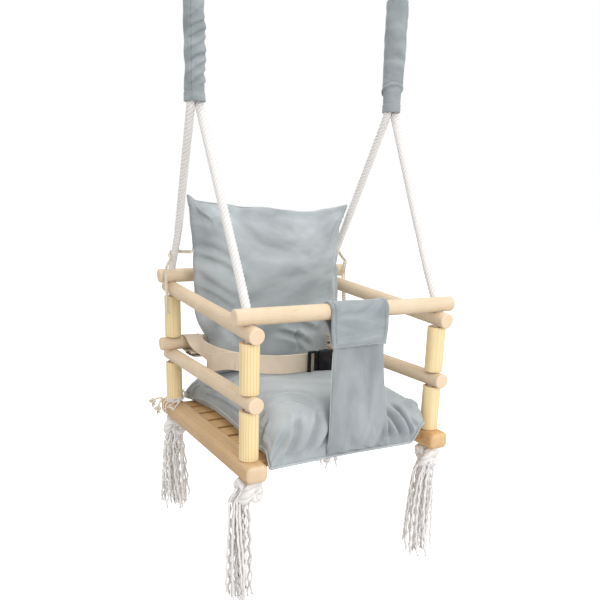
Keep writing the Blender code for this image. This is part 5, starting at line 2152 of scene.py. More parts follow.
    def build(self) -> Object:
        """Builds the pillow in its cover, with a welt round it.

        Returns:
            The pillow.
        """
        grids = self.grids(self.around)
        shaped = []
        moves = self.swollen(4.0, 0.035)
        u, v = np.meshgrid(self.spread(self.around), self.spread(self.around), indexing="ij")
        stay = smooth_step(grids[0][..., 2], 0.140, 0.190) * 0.85 + 0.15
        at_rim = 0.25 + 0.75 * smooth_step(1 - np.maximum(np.abs(u), np.abs(v)), 0.0, 0.06)
        grids = [grid + move * (stay * at_rim)[..., None] for grid, move in zip(grids, moves)]
        for grid, face in zip(grids, (1, -1)):
            normal = self.normals(grid, face)
            spots = grid[..., [0, 2]]
            relief = self.puckers(grid, 20 + face, 0.0017, 0.016, 0.0105)
            beside = ridge(self.half_x - np.abs(spots[..., 0]) - 0.004, 0.0016)
            relief = relief - 0.0016 * beside * (np.abs(spots[..., 1] - self.centre_z) < 0.15)
            inside = smooth_step(1 - np.abs(spots[..., 0]) / 0.165, 0.0, 0.2)
            relief = relief + 0.0015 * waves(grid, 31 + face, 0.085) * inside
            if face > 0:
                relief = relief + sum(fold.depth_at(spots) for fold in self.folds)
            else:
                relief = relief * 0.6
            shaped.append(grid + normal * relief[..., None])
        back = shaped[1]
        back[..., 1] = np.minimum(back[..., 1], HOLE_Y - DOWEL_R - 0.0004)
        pillow = self.finished("velvet_back_pillow", shaped, "back_pillow", 0.7)
        self.piping("pillow_welt", shaped, 0.0012, 0.0006)
        return pillow


@dataclass(frozen=True)
class SeatCushion(Stuffed):
    """The seat cushion: flat on the slats, full above, its front edge hanging over the first slat."""

    half_x: float = 0.148
    front_y: float = -0.195
    rear_y: float = 0.200
    crown: float = 0.060
    pressed: float = 0.22
    drawn: float = 0.02
    waist: float = 0.035
    rim_z: float = 0.012
    droop: float = 0.022
    floor_z: float = -0.0057
    cap: float = 0.007
    around: int = 190
    folds: tuple[Crease, ...] = (
        Crease((0.077, -0.008), (0.066, 0.034), 0.0080, 0.0034, -0.003, 0.4),
        Crease((0.097, -0.010), (0.066, 0.062), 0.0125, 0.0042, -0.009, 0.4),
        Crease((0.115, -0.010), (0.084, 0.072), 0.0130, 0.0044, -0.010, 0.4),
        Crease((0.133, -0.002), (0.112, 0.052), 0.0070, 0.0040, -0.005, 0.4),
        Crease((-0.139, -0.004), (-0.086, 0.080), 0.0085, 0.0056, -0.008, 0.4),
        Crease((-0.146, 0.030), (-0.085, 0.060), 0.0040, 0.0055, 0.006, 0.2),
        Crease((-0.108, -0.004), (-0.050, 0.072), 0.0105, 0.0054, -0.006, 0.4),
        Crease((-0.078, -0.002), (-0.030, 0.050), 0.0085, 0.0046, -0.004, 0.4),
        Crease((-0.120, 0.112), (-0.050, 0.074), 0.0040, 0.0070, 0.010),
        Crease((0.050, 0.120), (0.110, 0.150), 0.0022, 0.0090, 0.006))
    side_folds: tuple[Crease, ...] = (
        Crease((0.150, 0.014), (-0.175, 0.027), 0.0034, 0.0022, 0.003, 0.3),
        Crease((0.180, 0.000), (0.158, 0.044), 0.0070, 0.0036, 0.003, 0.35),
        Crease((0.158, -0.004), (0.138, 0.036), 0.0062, 0.0034, -0.003, 0.35),
        Crease((0.130, 0.030), (0.075, 0.044), 0.0050, 0.0040, 0.003, 0.3),
        Crease((0.118, -0.004), (0.096, 0.016), 0.0044, 0.0032, -0.002, 0.3),
        Crease((0.040, 0.034), (-0.040, 0.050), 0.0042, 0.0046, -0.003, 0.3),
        Crease((-0.070, -0.004), (-0.084, 0.022), 0.0038, 0.0036, 0.002, 0.3),
        Crease((-0.120, 0.004), (-0.130, 0.050), 0.0052, 0.0044, 0.003, 0.35),
        Crease((-0.160, 0.000), (-0.150, 0.045), 0.0064, 0.0040, 0.002, 0.35))

    def form(self, u: np.ndarray, v: np.ndarray, face: int) -> np.ndarray:
        """The cushion lying on the slats.

        Args:
            u: The place across, from -1 to 1.
            v: The place along, from -1 at its front to 1.
            face: 1 for the top, -1 for the bottom.

        Returns:
            Positions, in the seat's frame.
        """
        drawn_x = self.half_x * (1 - self.waist * (1 - v * v))
        mid_y, half_y = (self.front_y + self.rear_y) / 2, (self.rear_y - self.front_y) / 2
        y = mid_y + v * half_y * (1 - self.drawn * (1 - u * u))
        over = smooth_step((y - self.front_y - 0.002) / 0.020)
        tip = smooth_step(u, 0.78, 1.0) * smooth_step(-v, 0.45, 1.0)
        sunk = smooth_step(-u, 0.6, 1.0) * smooth_step(v, 0.5, 1.0)
        rim = self.rim_z - self.droop * (1 - over) + 0.029 * tip - 0.014 * sunk
        corner = u ** 6 * v ** 6
        cut_x = np.where(v < 0, np.where(u < 0, 0.0, 0.035), np.where(u < 0, 0.03, 0.075))
        cut_y = np.where(v < 0, np.where(u < 0, 0.0, 0.03), np.where(u < 0, 0.015, 0.05))
        groove_shade = 0.013 * smooth_step(v, -0.9, 0.4) * (1 - 0.85 * smooth_step(v, 0.40, 0.95))
        drawn_x = drawn_x * (1 - cut_x * corner) - np.where(u < 0, groove_shade, 0.0)
        y = mid_y + (y - mid_y) * (1 - cut_y * corner)
        full = np.sqrt(np.maximum(0, (1 - np.abs(u) ** np.where(u > 0, 5.5, 6)) * (1 - v ** 6)))
        if face > 0:
            crown = self.crown * (1 - self.pressed * smooth_step((y - 0.02) / 0.08))
            z = rim + self.rim + (crown + self.rim_z - rim) * full
        else:
            under = rim - self.rim
            laid = under + (self.floor_z - under) * np.minimum(1.0, 1.6 * full)
            z = np.where(under > self.floor_z, laid, under)
        return np.stack([u * drawn_x, y, z], -1)

    def facing(self, flat: np.ndarray, face: int) -> float:
        """The top looks up."""
        return face * float(np.sign(flat[..., 2].sum()) or 1.0)

    def creased(self, grid: np.ndarray, relief: np.ndarray, inside: np.ndarray) -> np.ndarray:
        """The top's creases over its gathers, flattened under the pillow.

        Args:
            grid: The top's grid of positions.
            relief: The gathers.
            inside: How far each point is from the seams, in shares of the cover.

        Returns:
            How far each point is moved out.
        """
        middle = self.around // 2
        back = np.broadcast_to(run_along(grid[middle])[None, :], relief.shape)
        across = run_along(grid[:, middle])
        relief = relief + sum(fold.depth_at(np.stack([grid[..., 0], back], -1)) for fold in self.folds)
        for edge in (across, across[-1] - across):
            side = np.stack([grid[..., 1], np.broadcast_to(edge[:, None], relief.shape)], -1)
            relief = relief + sum(fold.depth_at(side) for fold in self.side_folds)
        relief = relief + 0.0015 * waves(grid, 61, 0.08)
        relief = relief * (1 - smooth_step(grid[..., 1], 0.04, 0.09) * smooth_step(grid[..., 2], 0.03, 0.05))
        return relief * smooth_step(inside, 0.0, 0.01)

    def build(self) -> Object:
        """Builds the cushion in its piped cover.

        Returns:
            The cushion.
        """
        grids = self.grids(self.around)
        u, v = np.meshgrid(self.spread(self.around), self.spread(self.around), indexing="ij")
        inside = 1 - np.maximum(np.abs(u), np.abs(v))
        moves = self.swollen(4.0, 0.03)
        at_rim = 0.15 + 0.85 * smooth_step(inside, 0.0, 0.08)
        under_pillow = 1 - 0.9 * smooth_step(grids[0][..., 1], 0.03, 0.08)
        grids = [grids[0] + moves[0] * (at_rim * under_pillow)[..., None], grids[1]]
        shaped = []
        for grid, face in zip(grids, (1, -1)):
            relief = self.puckers(grid, 50 + face, 0.0020, 0.020, 0.0135)
            relief = self.creased(grid, relief, inside) if face > 0 else relief * 0.3
            shaped.append(grid + self.normals(grid, face) * relief[..., None])
        low = shaped[1][..., 2]
        on_slats = shaped[1][..., 1] > self.front_y + 0.02
        shaped[1][..., 2] = np.where(on_slats, np.maximum(low, self.floor_z), low)
        cushion = self.finished("velvet_seat_cushion", shaped, "seat_cushion", 0.75)
        self.piping("seat_welt", shaped, 0.0021, 0.0012)
        return cushion


@dataclass(frozen=True)
class Band:
    """A flat woven or sewn band along a line, as one closed skin."""

    line: np.ndarray
    half: np.ndarray
    across: np.ndarray
    thickness: float
    columns: int = 30

    @property
    def normal(self) -> np.ndarray:
        """The unit vectors out of its outer face."""
        return unit(np.cross(unit(self.across), np.gradient(self.line, axis=0)))

    @property
    def along(self) -> np.ndarray:
        """The distance of each station from the first."""
        return run_along(self.line)

    def build(self, name: str, finish: Material,
              relief: Callable[[np.ndarray, np.ndarray, np.ndarray], tuple] | None = None) -> Object:
        """The band's piece.

        Args:
            name: Its name.
            finish: Its material.
            relief: Outer swell, inner swell and shift, in metres, from a place across, the half width and a
                place along.

        Returns:
            The piece.
        """
        count = self.columns
        share = np.sin(np.linspace(-1, 1, count) * math.pi / 2) * 0.3 + np.linspace(-1, 1, count) * 0.7
        half, along = self.half[:, None], self.along[:, None]
        s = share[None, :] * half
        left = half - np.abs(s)
        t = self.thickness / 2
        edge = np.sqrt(np.clip(1 - np.maximum(0, 1 - left / t) ** 2, 0.02, 1))
        outer, inner, shift = relief(s, half, along) if relief else (0 * s, 0 * s, 0 * s)
        way, up = unit(self.across)[:, None], self.normal[:, None]
        row = self.line[:, None] + way * s[..., None]
        top = row + up * (shift + (t + outer) * edge)[..., None]
        low = row + up * (shift - (t + inner) * edge)[..., None]
        rings = np.concatenate([top, low[:, ::-1]], 1)
        points, faces, _ = skin(rings, caps=True)
        place = np.stack([np.concatenate([s, s[:, ::-1]], 1),
                          np.broadcast_to(along, (len(along), 2 * count))], -1).reshape(-1, 2)
        uv = place[np.concatenate([np.array(face) for face in faces])]
        return outward(mesh_object(name, points + DATUM, faces, finish, uv=uv, sharp=70))

    def edge_line(self, share: float, lift: float) -> tuple[np.ndarray, np.ndarray]:
        """A line along the band's outer face.

        Args:
            share: Where it runs, from -1 to 1 across the band.
            lift: How far it stands off the band's middle.

        Returns:
            The line, in the row frame, and its normals.
        """
        up = self.normal
        return self.line + unit(self.across) * (self.half * share)[:, None] + up * lift + DATUM, up


@dataclass(frozen=True)
class CrotchPanel:
    """The velvet panel: sewn round the front bar, then down the front of the cushion."""

    velvet: Material
    shaded_velvet: Material
    thread: Material
    # The lighter velvet copy for the rolled hem edges, a painted highlight.
    fold: Material
    middle_x: float = 0.008
    top_width: float = 0.100
    foot_width: float = 0.118
    flare: float = 0.003
    thickness: float = 0.0026
    seam_z: float = 0.1631
    seam_y: float = -0.1825
    bar_z: float = 0.2171
    hem_width: float = 0.0105
    sewn_in: float = 0.0072
    second_row: float = 0.0098
    cushion_front: float = -0.195
    cushion_inset: float = 0.00316
    foot_z: float = -0.0024
    folds: tuple[Crease, ...] = (
        Crease((0.036, 0.176), (0.058, 0.142), 0.0046, 0.0034, 0.002, 0.3),
        Crease((0.016, 0.176), (0.046, 0.122), 0.0048, 0.0040, 0.004, 0.3),
        Crease((-0.008, 0.176), (0.024, 0.112), 0.0042, 0.0048, 0.004, 0.3),
        Crease((-0.036, 0.176), (-0.012, 0.108), 0.0040, 0.0054, 0.003, 0.3))
    stations: tuple[tuple[float, float], ...] = (
        (0.0, 0.0), (0.09, 0.19), (0.37, 0.39), (0.69, 0.58),
        (0.91, 0.73), (1.13, 0.84), (1.12, 0.93), (1.07, 1.0))

    def hemmed(self, s: np.ndarray, half: np.ndarray, along: np.ndarray) -> tuple:
        """Doubled hems, the dip of their stitching, and a soft wave across the cloth.

        Args:
            s: The place across.
            half: Half the width there.
            along: The place along.

        Returns:
            Outer swell, inner swell and shift.
        """
        left = half - np.abs(s)
        doubled = smooth_step(self.hem_width - left, 0.0, 0.0012)
        dip = ridge(left - self.sewn_in, 0.0008)
        spot = np.stack(np.broadcast_arrays(s, along, 0 * s), -1)
        soft = waves(spot, 71, 0.05, 5)
        swell = 0.0011 * doubled - 0.0012 * dip
        return swell, swell * 0.8, 0.0006 * soft * smooth_step(left, 0.0, 0.02)

    def draped(self, s: np.ndarray, half: np.ndarray, along: np.ndarray) -> tuple:
        """The hems, and the creases pressed into the cloth below the seam.

        Args:
            s: The place across.
            half: Half the width there.
            along: The place along.

        Returns:
            Outer swell, inner swell and shift.
        """
        outer, inner, shift = self.hemmed(s, half, along)
        spots = np.stack(np.broadcast_arrays(s, along), -1)
        pressed = sum(fold.depth_at(spots) for fold in self.folds)
        return outer + pressed * 0.5, inner, shift + np.maximum(pressed, -0.0008) + 0.0004

    def touching(self, y: float, z: float, wrap: float, way: int) -> float:
        """The angle at which a straight run from a point meets the cloth round the bar.

        Args:
            y: The point's place.
            z: The point's height.
            wrap: The cloth's radius round the bar.
            way: -1 where the run meets it from the front, 1 from behind.

        Returns:
            The angle about the bar.
        """
        from_bar = (y + HOLE_Y, z - self.bar_z)
        return math.atan2(from_bar[1], from_bar[0]) + way * math.acos(wrap / math.hypot(*from_bar))

    def loop_line(self, front: float, back: float) -> np.ndarray:
        """The loop's line: up from the seam in front, round the bar, and down behind.

        Args:
            front: Where its front layer stands at the seam.
            back: Where its back layer stands there.

        Returns:
            Rows of positions, in the seat's frame.
        """
        wrap = DOWEL_R + GAP + self.thickness / 2
        rise = (self.bar_z - self.seam_z) / 3
        start = self.touching(front + GAP, self.seam_z + rise, wrap, -1) + 2 * math.pi
        stop = self.touching(back + rise / 3, self.seam_z + 1.2 * rise, wrap, 1)
        turns = np.linspace(start, stop, 40)
        arc = np.stack([-HOLE_Y + wrap * np.cos(turns), self.bar_z + wrap * np.sin(turns)], -1)
        bow = 0.0012
        down = ((front, self.seam_z), (front - bow * 0.6, self.seam_z + rise / 2),
                (front + GAP - bow * 0.4, self.seam_z + rise))
        up = ((back + rise / 3, self.seam_z + 1.2 * rise), (back + rise / 9, self.seam_z + rise / 2),
              (back, self.seam_z))
        flat = np.concatenate([down, arc, up])
        return resample(np.concatenate([np.full((len(flat), 1), self.middle_x), flat], 1), 0.0016)

    def loop(self) -> None:
        """The loop round the front bar, its two layers sewn together at the seam."""
        gap = self.thickness / 2 + GAP / 2
        front, back = self.seam_y - gap, self.seam_y + gap
        line = self.loop_line(front, back)
        share = np.linspace(0, 1, len(line))
        half = self.top_width / 2 + self.flare * smooth_step(np.minimum(share, 1 - share), 0.0, 0.2)
        band = Band(line, half, np.tile((1.0, 0, 0), (len(line), 1)), self.thickness, 46)
        # The loop takes the darker copy of the velvet: painted shade.
        loop = band.build("panel_loop", self.shaded_velvet, self.hemmed)
        placed(loop, "front_bar", "bar_loop")
        round(float(band.along[-1]), 3)
        widest = 0.0515
        for word, side in SIDES.items():
            edge, up = band.edge_line(side * (1 - self.sewn_in / widest), self.thickness / 2 + 0.0002)
            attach(stitches(f"panel_loop_stitching_{word}", edge[4:-4], up[4:-4], self.thread), "front_bar")
        self.seam(front - self.thickness / 2)

    def seam(self, face_y: float) -> None:
        """The wavy stitched seam across the panel, and the roll of cloth under it.

        Args:
            face_y: Where the cloth's front face stands.
        """
        count = 60
        across = np.linspace(-0.96, 0.96, count) * self.top_width / 2
        wavy = 0.0009 * np.sin(across * 2 * math.pi / 0.021) + 0.0006 * np.sin(across * 2 * math.pi / 0.009)
        row = np.stack([self.middle_x + across, np.full(count, face_y - 0.0005),
                        self.seam_z + 0.0045 + wavy], -1)
        facing = np.tile((0.0, -1, 0), (count, 1))
        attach(stitches("panel_seam_stitching", row + DATUM, facing, self.thread), "front_bar")
        puff = np.stack([self.middle_x + across * 1.04, np.full(count, face_y + 0.0006),
                         self.seam_z + 0.0006 + 0.5 * wavy], -1)
        rolled = tube(resample(puff, 0.0015) + DATUM, 0.0014, 12, (0, 1, 0))
        placed(joined("panel_seam_roll", [rolled], self.velvet, 0.1), "front_bar")

    def apron_line(self) -> tuple[np.ndarray, np.ndarray]:
        """The line of the panel below its seam.

        Returns:
            Rows of positions, in the seat's frame, and how far down each lies, from 0 to 1.
        """
        front = self.cushion_front + self.cushion_inset - self.thickness / 2 - GAP
        low, top = self.foot_z, self.seam_z - GAP
        points = [(self.middle_x, self.seam_y + (front - self.seam_y) * out, top + (low - top) * down)
                  for out, down in self.stations]
        line = through(points, 0.002)
        for _ in range(30):
            line[1:-1] = (line[:-2] + 2 * line[1:-1] + line[2:]) / 4
        return line, (top - line[:, 2]) / (top - low)

    def apron(self) -> None:
        """The panel below its seam, down to the cushion's front edge."""
        line, down = self.apron_line()
        widening = (self.foot_width - self.top_width) * down ** 1.6
        half = (self.top_width + widening) / 2 - self.flare * (1 - down)
        line = line - np.array((0, 0.0010, 0)) * smooth_step(down, 0.5, 0.75)[:, None]
        band = Band(line, half, np.tile((1.0, 0, 0), (len(line), 1)), self.thickness * 0.9, 60)
        pieces = [band.build("panel_apron", self.velvet, self.draped)]
        for word, side in SIDES.items():
            for number, inset in enumerate((self.sewn_in, self.second_row) if side < 0 else (self.sewn_in,)):
                path, up = band.edge_line(side * (1 - inset / half.mean()), self.thickness / 2 + 0.0004)
                name = f"panel_hem_stitching_{word}_{number}"
                pieces.append(stitches(name, path[3:-6], up[3:-6], self.thread))
            path, _ = band.edge_line(side * (1 - 0.0004 / half.mean()), self.thickness / 2 - 0.0006)
            folded = tube(path[3:-3], 0.0009, 8, (side, 0, 0.1))
            # The rolled hem edge takes the lighter velvet copy: painted highlight.
            pieces.append(joined(f"panel_hem_fold_{word}", [folded], self.fold, 0.1))
        start, stop = DATUM + (0, -0.18, 0.075), DATUM + (0, -0.18, self.seam_z + 0.002)
        for piece in pieces:
            tuple(start)
            tuple(stop)
            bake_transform(piece)
        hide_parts("crotch_panel")
        round(float(band.along[-1]), 3)
        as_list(pieces[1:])

    def build(self) -> None:
        """Builds both parts of the panel."""
        self.loop()
        self.apron()
        LOG.info("crotch panel and its loop")


@dataclass(frozen=True)
class Harness:
    """The waist belt: webbing round the back mid bar, two slides and a side-release buckle."""

    webbing: Material
    plastic: Material
    slide: Material
    thread: Material
    strap_x: float = 0.138
    width: float = 0.034
    thickness: float = 0.0018
    lap_length: int = 36
    mid_z: float = 0.11327
    slide_y: float = 0.1285
    slide_length: float = 0.031
    slide_thickness: float = 0.0026
    slot_offset: float = 0.0065
    buckle_x: float = 0.014
    buckle_y: float = -0.018
    buckle_z: float = 0.09797
    frame_length: float = 0.019
    frame_bar: float = 0.0045
    frame_depth: float = 0.0065
    socket_x: float = 0.0335
    socket_length: float = 0.040
    socket_depth: float = 0.013
    socket_bar: float = 0.004
    socket_slot: float = 0.007
    tongue_depth: float = 0.0046
    prong_length: float = 0.024
    play: float = 0.0005
    stations: tuple[tuple[float, float, float], ...] = (
        (1.004, 0.896, 1.0), (1.011, 0.819, 0.95), (1.018, 0.736, 0.83), (1.018, 0.582, 0.57),
        (0.996, 0.427, 0.43), (0.935, 0.285, 0.33), (0.819, 0.154, 0.22), (0.652, 0.053, 0.12),
        (0.449, -0.024, 0.05), (0.290, -0.071, 0.02))

    @property
    def tail_z(self) -> float:
        """Height of the strap's tail under the back mid bar."""
        return self.mid_z - DOWEL_R - GAP - self.thickness / 2

    def route(self, side: int) -> tuple[np.ndarray, np.ndarray]:
        """The strap's line from its tail to the buckle.

        Args:
            side: -1 for the left strap, 1 for the right.

        Returns:
            Rows of positions, in the seat's frame, and the way across the strap at each.
        """
        wrap = DOWEL_R + GAP + self.thickness / 2
        weave = self.thickness / 2 + GAP + self.slide_thickness / 2
        inner, outer = self.slot_offset - 0.003, self.slot_offset + 0.003
        tail = [(side * self.strap_x, self.slide_y + shift, self.tail_z + lift) for shift, lift in
                ((-self.slide_length / 2 - 0.0035, -weave), (-outer, -weave), (-inner, weave), (inner, weave),
                 (outer, -weave), (self.slide_length / 2, -weave))]
        angles = np.radians(-96 + 190 * np.arange(19) / 18)
        arc = [(side * self.strap_x, HOLE_Y + wrap * math.cos(a), self.mid_z + wrap * math.sin(a))
               for a in angles]
        begin, depth, bite = self.buckle_x, self.frame_depth, self.frame_length - self.frame_bar
        if side > 0:
            begin, depth = self.socket_x + self.socket_length, self.socket_depth
            bite = -self.socket_bar - self.socket_slot
        top, room = arc[-1][2], 0.014
        run = [(side * self.strap_x * x, HOLE_Y * y, self.buckle_z + (top - self.buckle_z) * z)
               for x, y, z in self.stations]
        run = [spot for spot in run if side * (spot[0] - begin) > room]
        behind = self.buckle_y + depth / 2 + GAP + self.thickness / 2
        run += [(begin + side * 0.4 * room, behind, self.buckle_z), (begin + bite, behind, self.buckle_z)]
        line = np.concatenate([rounded(resample(np.array(tail), 0.001), 1), through(arc + run, 0.0018)])
        keep = np.concatenate([[True], np.linalg.norm(np.diff(line, axis=0), axis=1) > 2e-4])
        line = line[keep]
        upright_from, upright_by = self.stations[0][1], self.stations[3][1]
        turning = (upright_from - line[:, 1] / HOLE_Y) / (upright_from - upright_by)
        turn = math.pi / 2 * smooth_step(turning)
        tail_end = np.argmax(line[:, 1] > self.slide_y + self.slide_length / 2)
        first_top = tail_end + np.argmax(line[tail_end:, 2] > self.mid_z)
        turn[:first_top] = 0
        return line, np.stack([np.cos(turn), np.zeros(len(turn)), side * -np.sin(turn)], -1)

    def woven(self, s: np.ndarray, half: np.ndarray, along: np.ndarray) -> tuple:
        """Firm selvedges and a slight ripple along the webbing.

        Args:
            s: The place across.
            half: Half the width there.
            along: The place along.

        Returns:
            Outer swell, inner swell and shift.
        """
        left = half - np.abs(s)
        edge = 0.00022 * ridge(left - 0.0012, 0.0009)
        ripple = 0.00025 * np.sin(2 * math.pi * along / 0.047) * np.sin(math.pi * s / half)
        return edge, edge, ripple

    def lapped(self, word: str, line: np.ndarray, across: np.ndarray, band: Band) -> list[Object]:
        """The strap's end, lapped over itself and tacked down twice.

        Args:
            word: Which strap.
            line: The strap's line.
            across: The way across it.
            band: The strap's band.

        Returns:
            The lap and its two tacks.
        """
        side, count = SIDES[word], self.lap_length
        normal = band.normal
        front = int(np.argmin(np.abs(line[:, 1] / HOLE_Y - 0.56) + (band.along < 0.10) * 9)) + 9
        lap = slice(front, front + count)
        outer = normal * np.sign((normal[front] * np.array((side, -0.3, 0))).sum())
        fading = (1 - smooth_step(np.linspace(0, 1, count)))[:, None]
        fall = across[lap] * np.sign(-across[lap][:, 2:]) * 0.0165 * fading
        laid = line[lap] + outer[lap] * (self.thickness * 0.98) + fall
        over = Band(laid, np.full(count, self.width / 2 - 0.0006), across[lap], self.thickness * 0.9, 26)
        pieces = [over.build(f"belt_lap_{word}", self.webbing, self.woven)]
        s = np.linspace(-0.9, 0.9, 30) * self.width / 2
        for number, at in enumerate((2, 7)):
            station = front + at
            row = line[station] + fall[at] + across[station] * s[:, None]
            row = row + outer[station] * self.thickness * 1.47 + DATUM
            facing = np.tile(outer[station], (len(s), 1))
            name = f"belt_bar_tack_{word}_{number}"
            pieces.append(stitches(name, row, facing, self.thread, length=0.0024, gap=0.0006, radius=0.0004))
        return pieces

    def straps(self) -> None:
        """Both halves of the belt."""
        start, stop = ((DATUM[0] + x, DATUM[1], DATUM[2] + self.buckle_z) for x in (-0.075, 0.006))
        for word, side in SIDES.items():
            line, across = self.route(side)
            band = Band(line, np.full(len(line), self.width / 2), across, self.thickness, 26)
            strap = band.build(f"webbing_belt_{word}", self.webbing, self.woven)
            pieces = [strap, *self.lapped(word, line, across, band)]
            for piece in pieces:
                if side < 0:
                    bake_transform(piece)
                    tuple(start)
                    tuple(stop)
                else:
                    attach(piece, "seat")
            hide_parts(f"belt_{word}")
            round(float(band.along[-1]), 3)
            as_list(pieces[1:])

    def plate(self, name: str, size: Point, corner: float, edge: float, finish: Material,
              at: Point) -> Object:
        """A flat plate in X and Y with rounded corners and softened edges.

        Args:
            name: The piece's name.
            size: Its size.
            corner: The radius of its corners.
            edge: The radius of its edges.
            finish: Its material.
            at: Its middle, in the seat's frame.

        Returns:
            The piece.
        """
        turn = np.arange(4)[:, None] * math.pi / 2 + np.linspace(0, math.pi / 2, 9)[None, :]
        mid = np.array(((1, 1), (-1, 1), (-1, -1), (1, -1)))

        def outline(inset: float) -> np.ndarray:
            """The plate's outline, drawn in by an inset."""
            reach = corner - inset
            spot = mid * (np.array(size[:2]) / 2 - corner)
            rim = np.stack([np.cos(turn), np.sin(turn)], -1)
            return (spot[:, None] + max(reach, 1e-4) * rim).reshape(-1, 2)

        steps = np.linspace(0, math.pi / 2, 6)
        inset = np.concatenate([edge * (1 - np.sin(steps)), edge * (1 - np.sin(steps[::-1]))])
        rounding = edge * (1 - np.cos(steps))
        height = np.concatenate([-size[2] / 2 + rounding, size[2] / 2 - rounding[::-1]])
        rings = np.stack([np.concatenate([outline(i), np.full((turn.size, 1), h)], 1)
                          for i, h in zip(inset, height)])
        points, faces, _ = skin(rings, caps=True)
        obj = outward(mesh_object(name, points, faces, finish, sharp=50))
        obj.location = DATUM + np.array(at, float)
        return obj

    def slides(self) -> None:
        """The slides on the straps' tails."""
        size = (self.width + 0.008, self.slide_length, self.slide_thickness)
        for word, side in SIDES.items():
            x, y, z = side * self.strap_x, self.slide_y, self.tail_z
            plate = self.plate(f"slide_{word}", size, 0.0045, 0.0009, self.slide, (x, y, z))
            bpy.context.view_layer.update()
            slots = [self.plate("slide_slot", (self.width + 0.0012, 0.008, 0.03), 0.0012, 0.0002, self.slide,
                                (x, y + sign * self.slot_offset, z)) for sign in (-1, 1)]
            cut_with(plate, slots)
            placed(plate, "seat", f"strap_slide_{word}")

    def upright(self, name: str, size: Point, corner: float, edge: float, at: Point) -> Object:
        """A plate standing in X and Z, its thickness along Y."""
        obj = self.plate(name, (size[0], size[2], size[1]), corner, edge, self.plastic, at)
        obj.rotation_euler = (math.pi / 2, 0, 0)
        return obj

    def dome(self, name: str, at: Point, reach: Point) -> Object:
        """A low dome to join to a shell.

        Args:
            name: The piece's name.
            at: Its middle, in the seat's frame.
            reach: How far it reaches along each axis.

        Returns:
            The piece.
        """
        rise = np.linspace(-math.pi / 2 + 0.05, math.pi / 2 - 0.05, 21)
        points, faces, _ = skin(lathed(np.cos(rise), np.sin(rise), 48) * reach, caps=True)
        obj = outward(mesh_object(name, points, faces, self.plastic))
        obj.location = DATUM + np.array(at, float)
        return obj

    def tongue(self, height: float) -> Object:
        """The buckle's tongue: a frame for the strap, a guide, and two barbed prongs.

        Args:
            height: The buckle's height.

        Returns:
            The piece.
        """
        y, z, depth = self.buckle_y, self.buckle_z, self.tongue_depth
        root, middle = self.buckle_x + self.frame_length, self.buckle_x + self.frame_length / 2
        size = (self.frame_length, self.frame_depth, height)
        tongue = self.upright("tongue", size, 0.0035, 0.0014, (middle, y, z))
        opening = (self.frame_length - 2 * self.frame_bar, 0.04, self.width + 0.0016)
        slot = self.upright("slot", opening, 0.0012, 0.0003, (middle, y, z))
        bars = [self.upright("guide", (0.8 * self.prong_length + 0.002, depth, 0.005), 0.0018, 0.0010,
                             (root - 0.001 + 0.4 * self.prong_length, y, z))]
        for sign in (-1, 1):
            for name, length, out, off in (("prong", 0.026, 0.011, 0.0125), ("barb", 0.010, 0.018, 0.0155)):
                at = (root + out, y, z + sign * off)
                bars.append(self.upright(name, (length, depth, 0.0042), 0.0015, 0.0009, at))
        for number in range(2):
            size = (0.0011, self.frame_depth + 0.0012, height - 0.008 - 0.003 * number)
            bars.append(self.upright("rib", size, 0.0005, 0.0003, (root - 0.0011 - 0.0016 * number, y, z)))
        bpy.context.view_layer.update()
        cut_with(tongue, [slot])
        return cut_with(tongue, bars, "UNION")

    def socket(self, height: float) -> Object:
        """The buckle's socket: a domed shell, open for the prongs, with a slot for the strap.

        Args:
            height: The buckle's height.

        Returns:
            The piece.
        """
        y, z, depth = self.buckle_y, self.buckle_z, self.tongue_depth + 2 * self.play
        middle, end = self.socket_x + self.socket_length / 2, self.socket_x + self.socket_length
        size = (self.socket_length, self.socket_depth, height)
        shell = self.upright("socket", size, 0.0075, 0.0034, (middle, y, z))
        boss = self.dome("boss", (middle - 0.004, y, z), (0.0135, 0.0079, 0.0125))
        room, mouth = self.prong_length + 2 * self.play, 0.04
        cavity = self.upright("cavity", (room + mouth, depth, height - 0.0044), 0.002, 0.0005,
                              (self.socket_x + (room - mouth) / 2, y, z))
        windows = self.upright("windows", (0.013, depth, height + 0.04), 0.002, 0.0005,
                               (self.socket_x + self.prong_length - 0.0065, y, z))
        gap = self.upright("gap", (self.socket_slot, 0.04, self.width + 0.0016), 0.0012, 0.0003,
                           (end - self.socket_bar - self.socket_slot / 2, y, z))
        bpy.context.view_layer.update()
        cut_with(shell, [boss], "UNION")
        return cut_with(shell, [cavity, windows, gap])

    def buckle(self) -> None:
        """The side-release buckle: tongue and socket."""
        height = self.width + 0.009
        placed(self.tongue(height), "buckle_tongue", "buckle_tongue")
        placed(self.socket(height), "seat", "buckle_socket")

    def build(self) -> None:
        """Builds the belt and its fittings."""
        self.straps()
        self.slides()
        self.buckle()
        LOG.info("belt, slides and buckle")


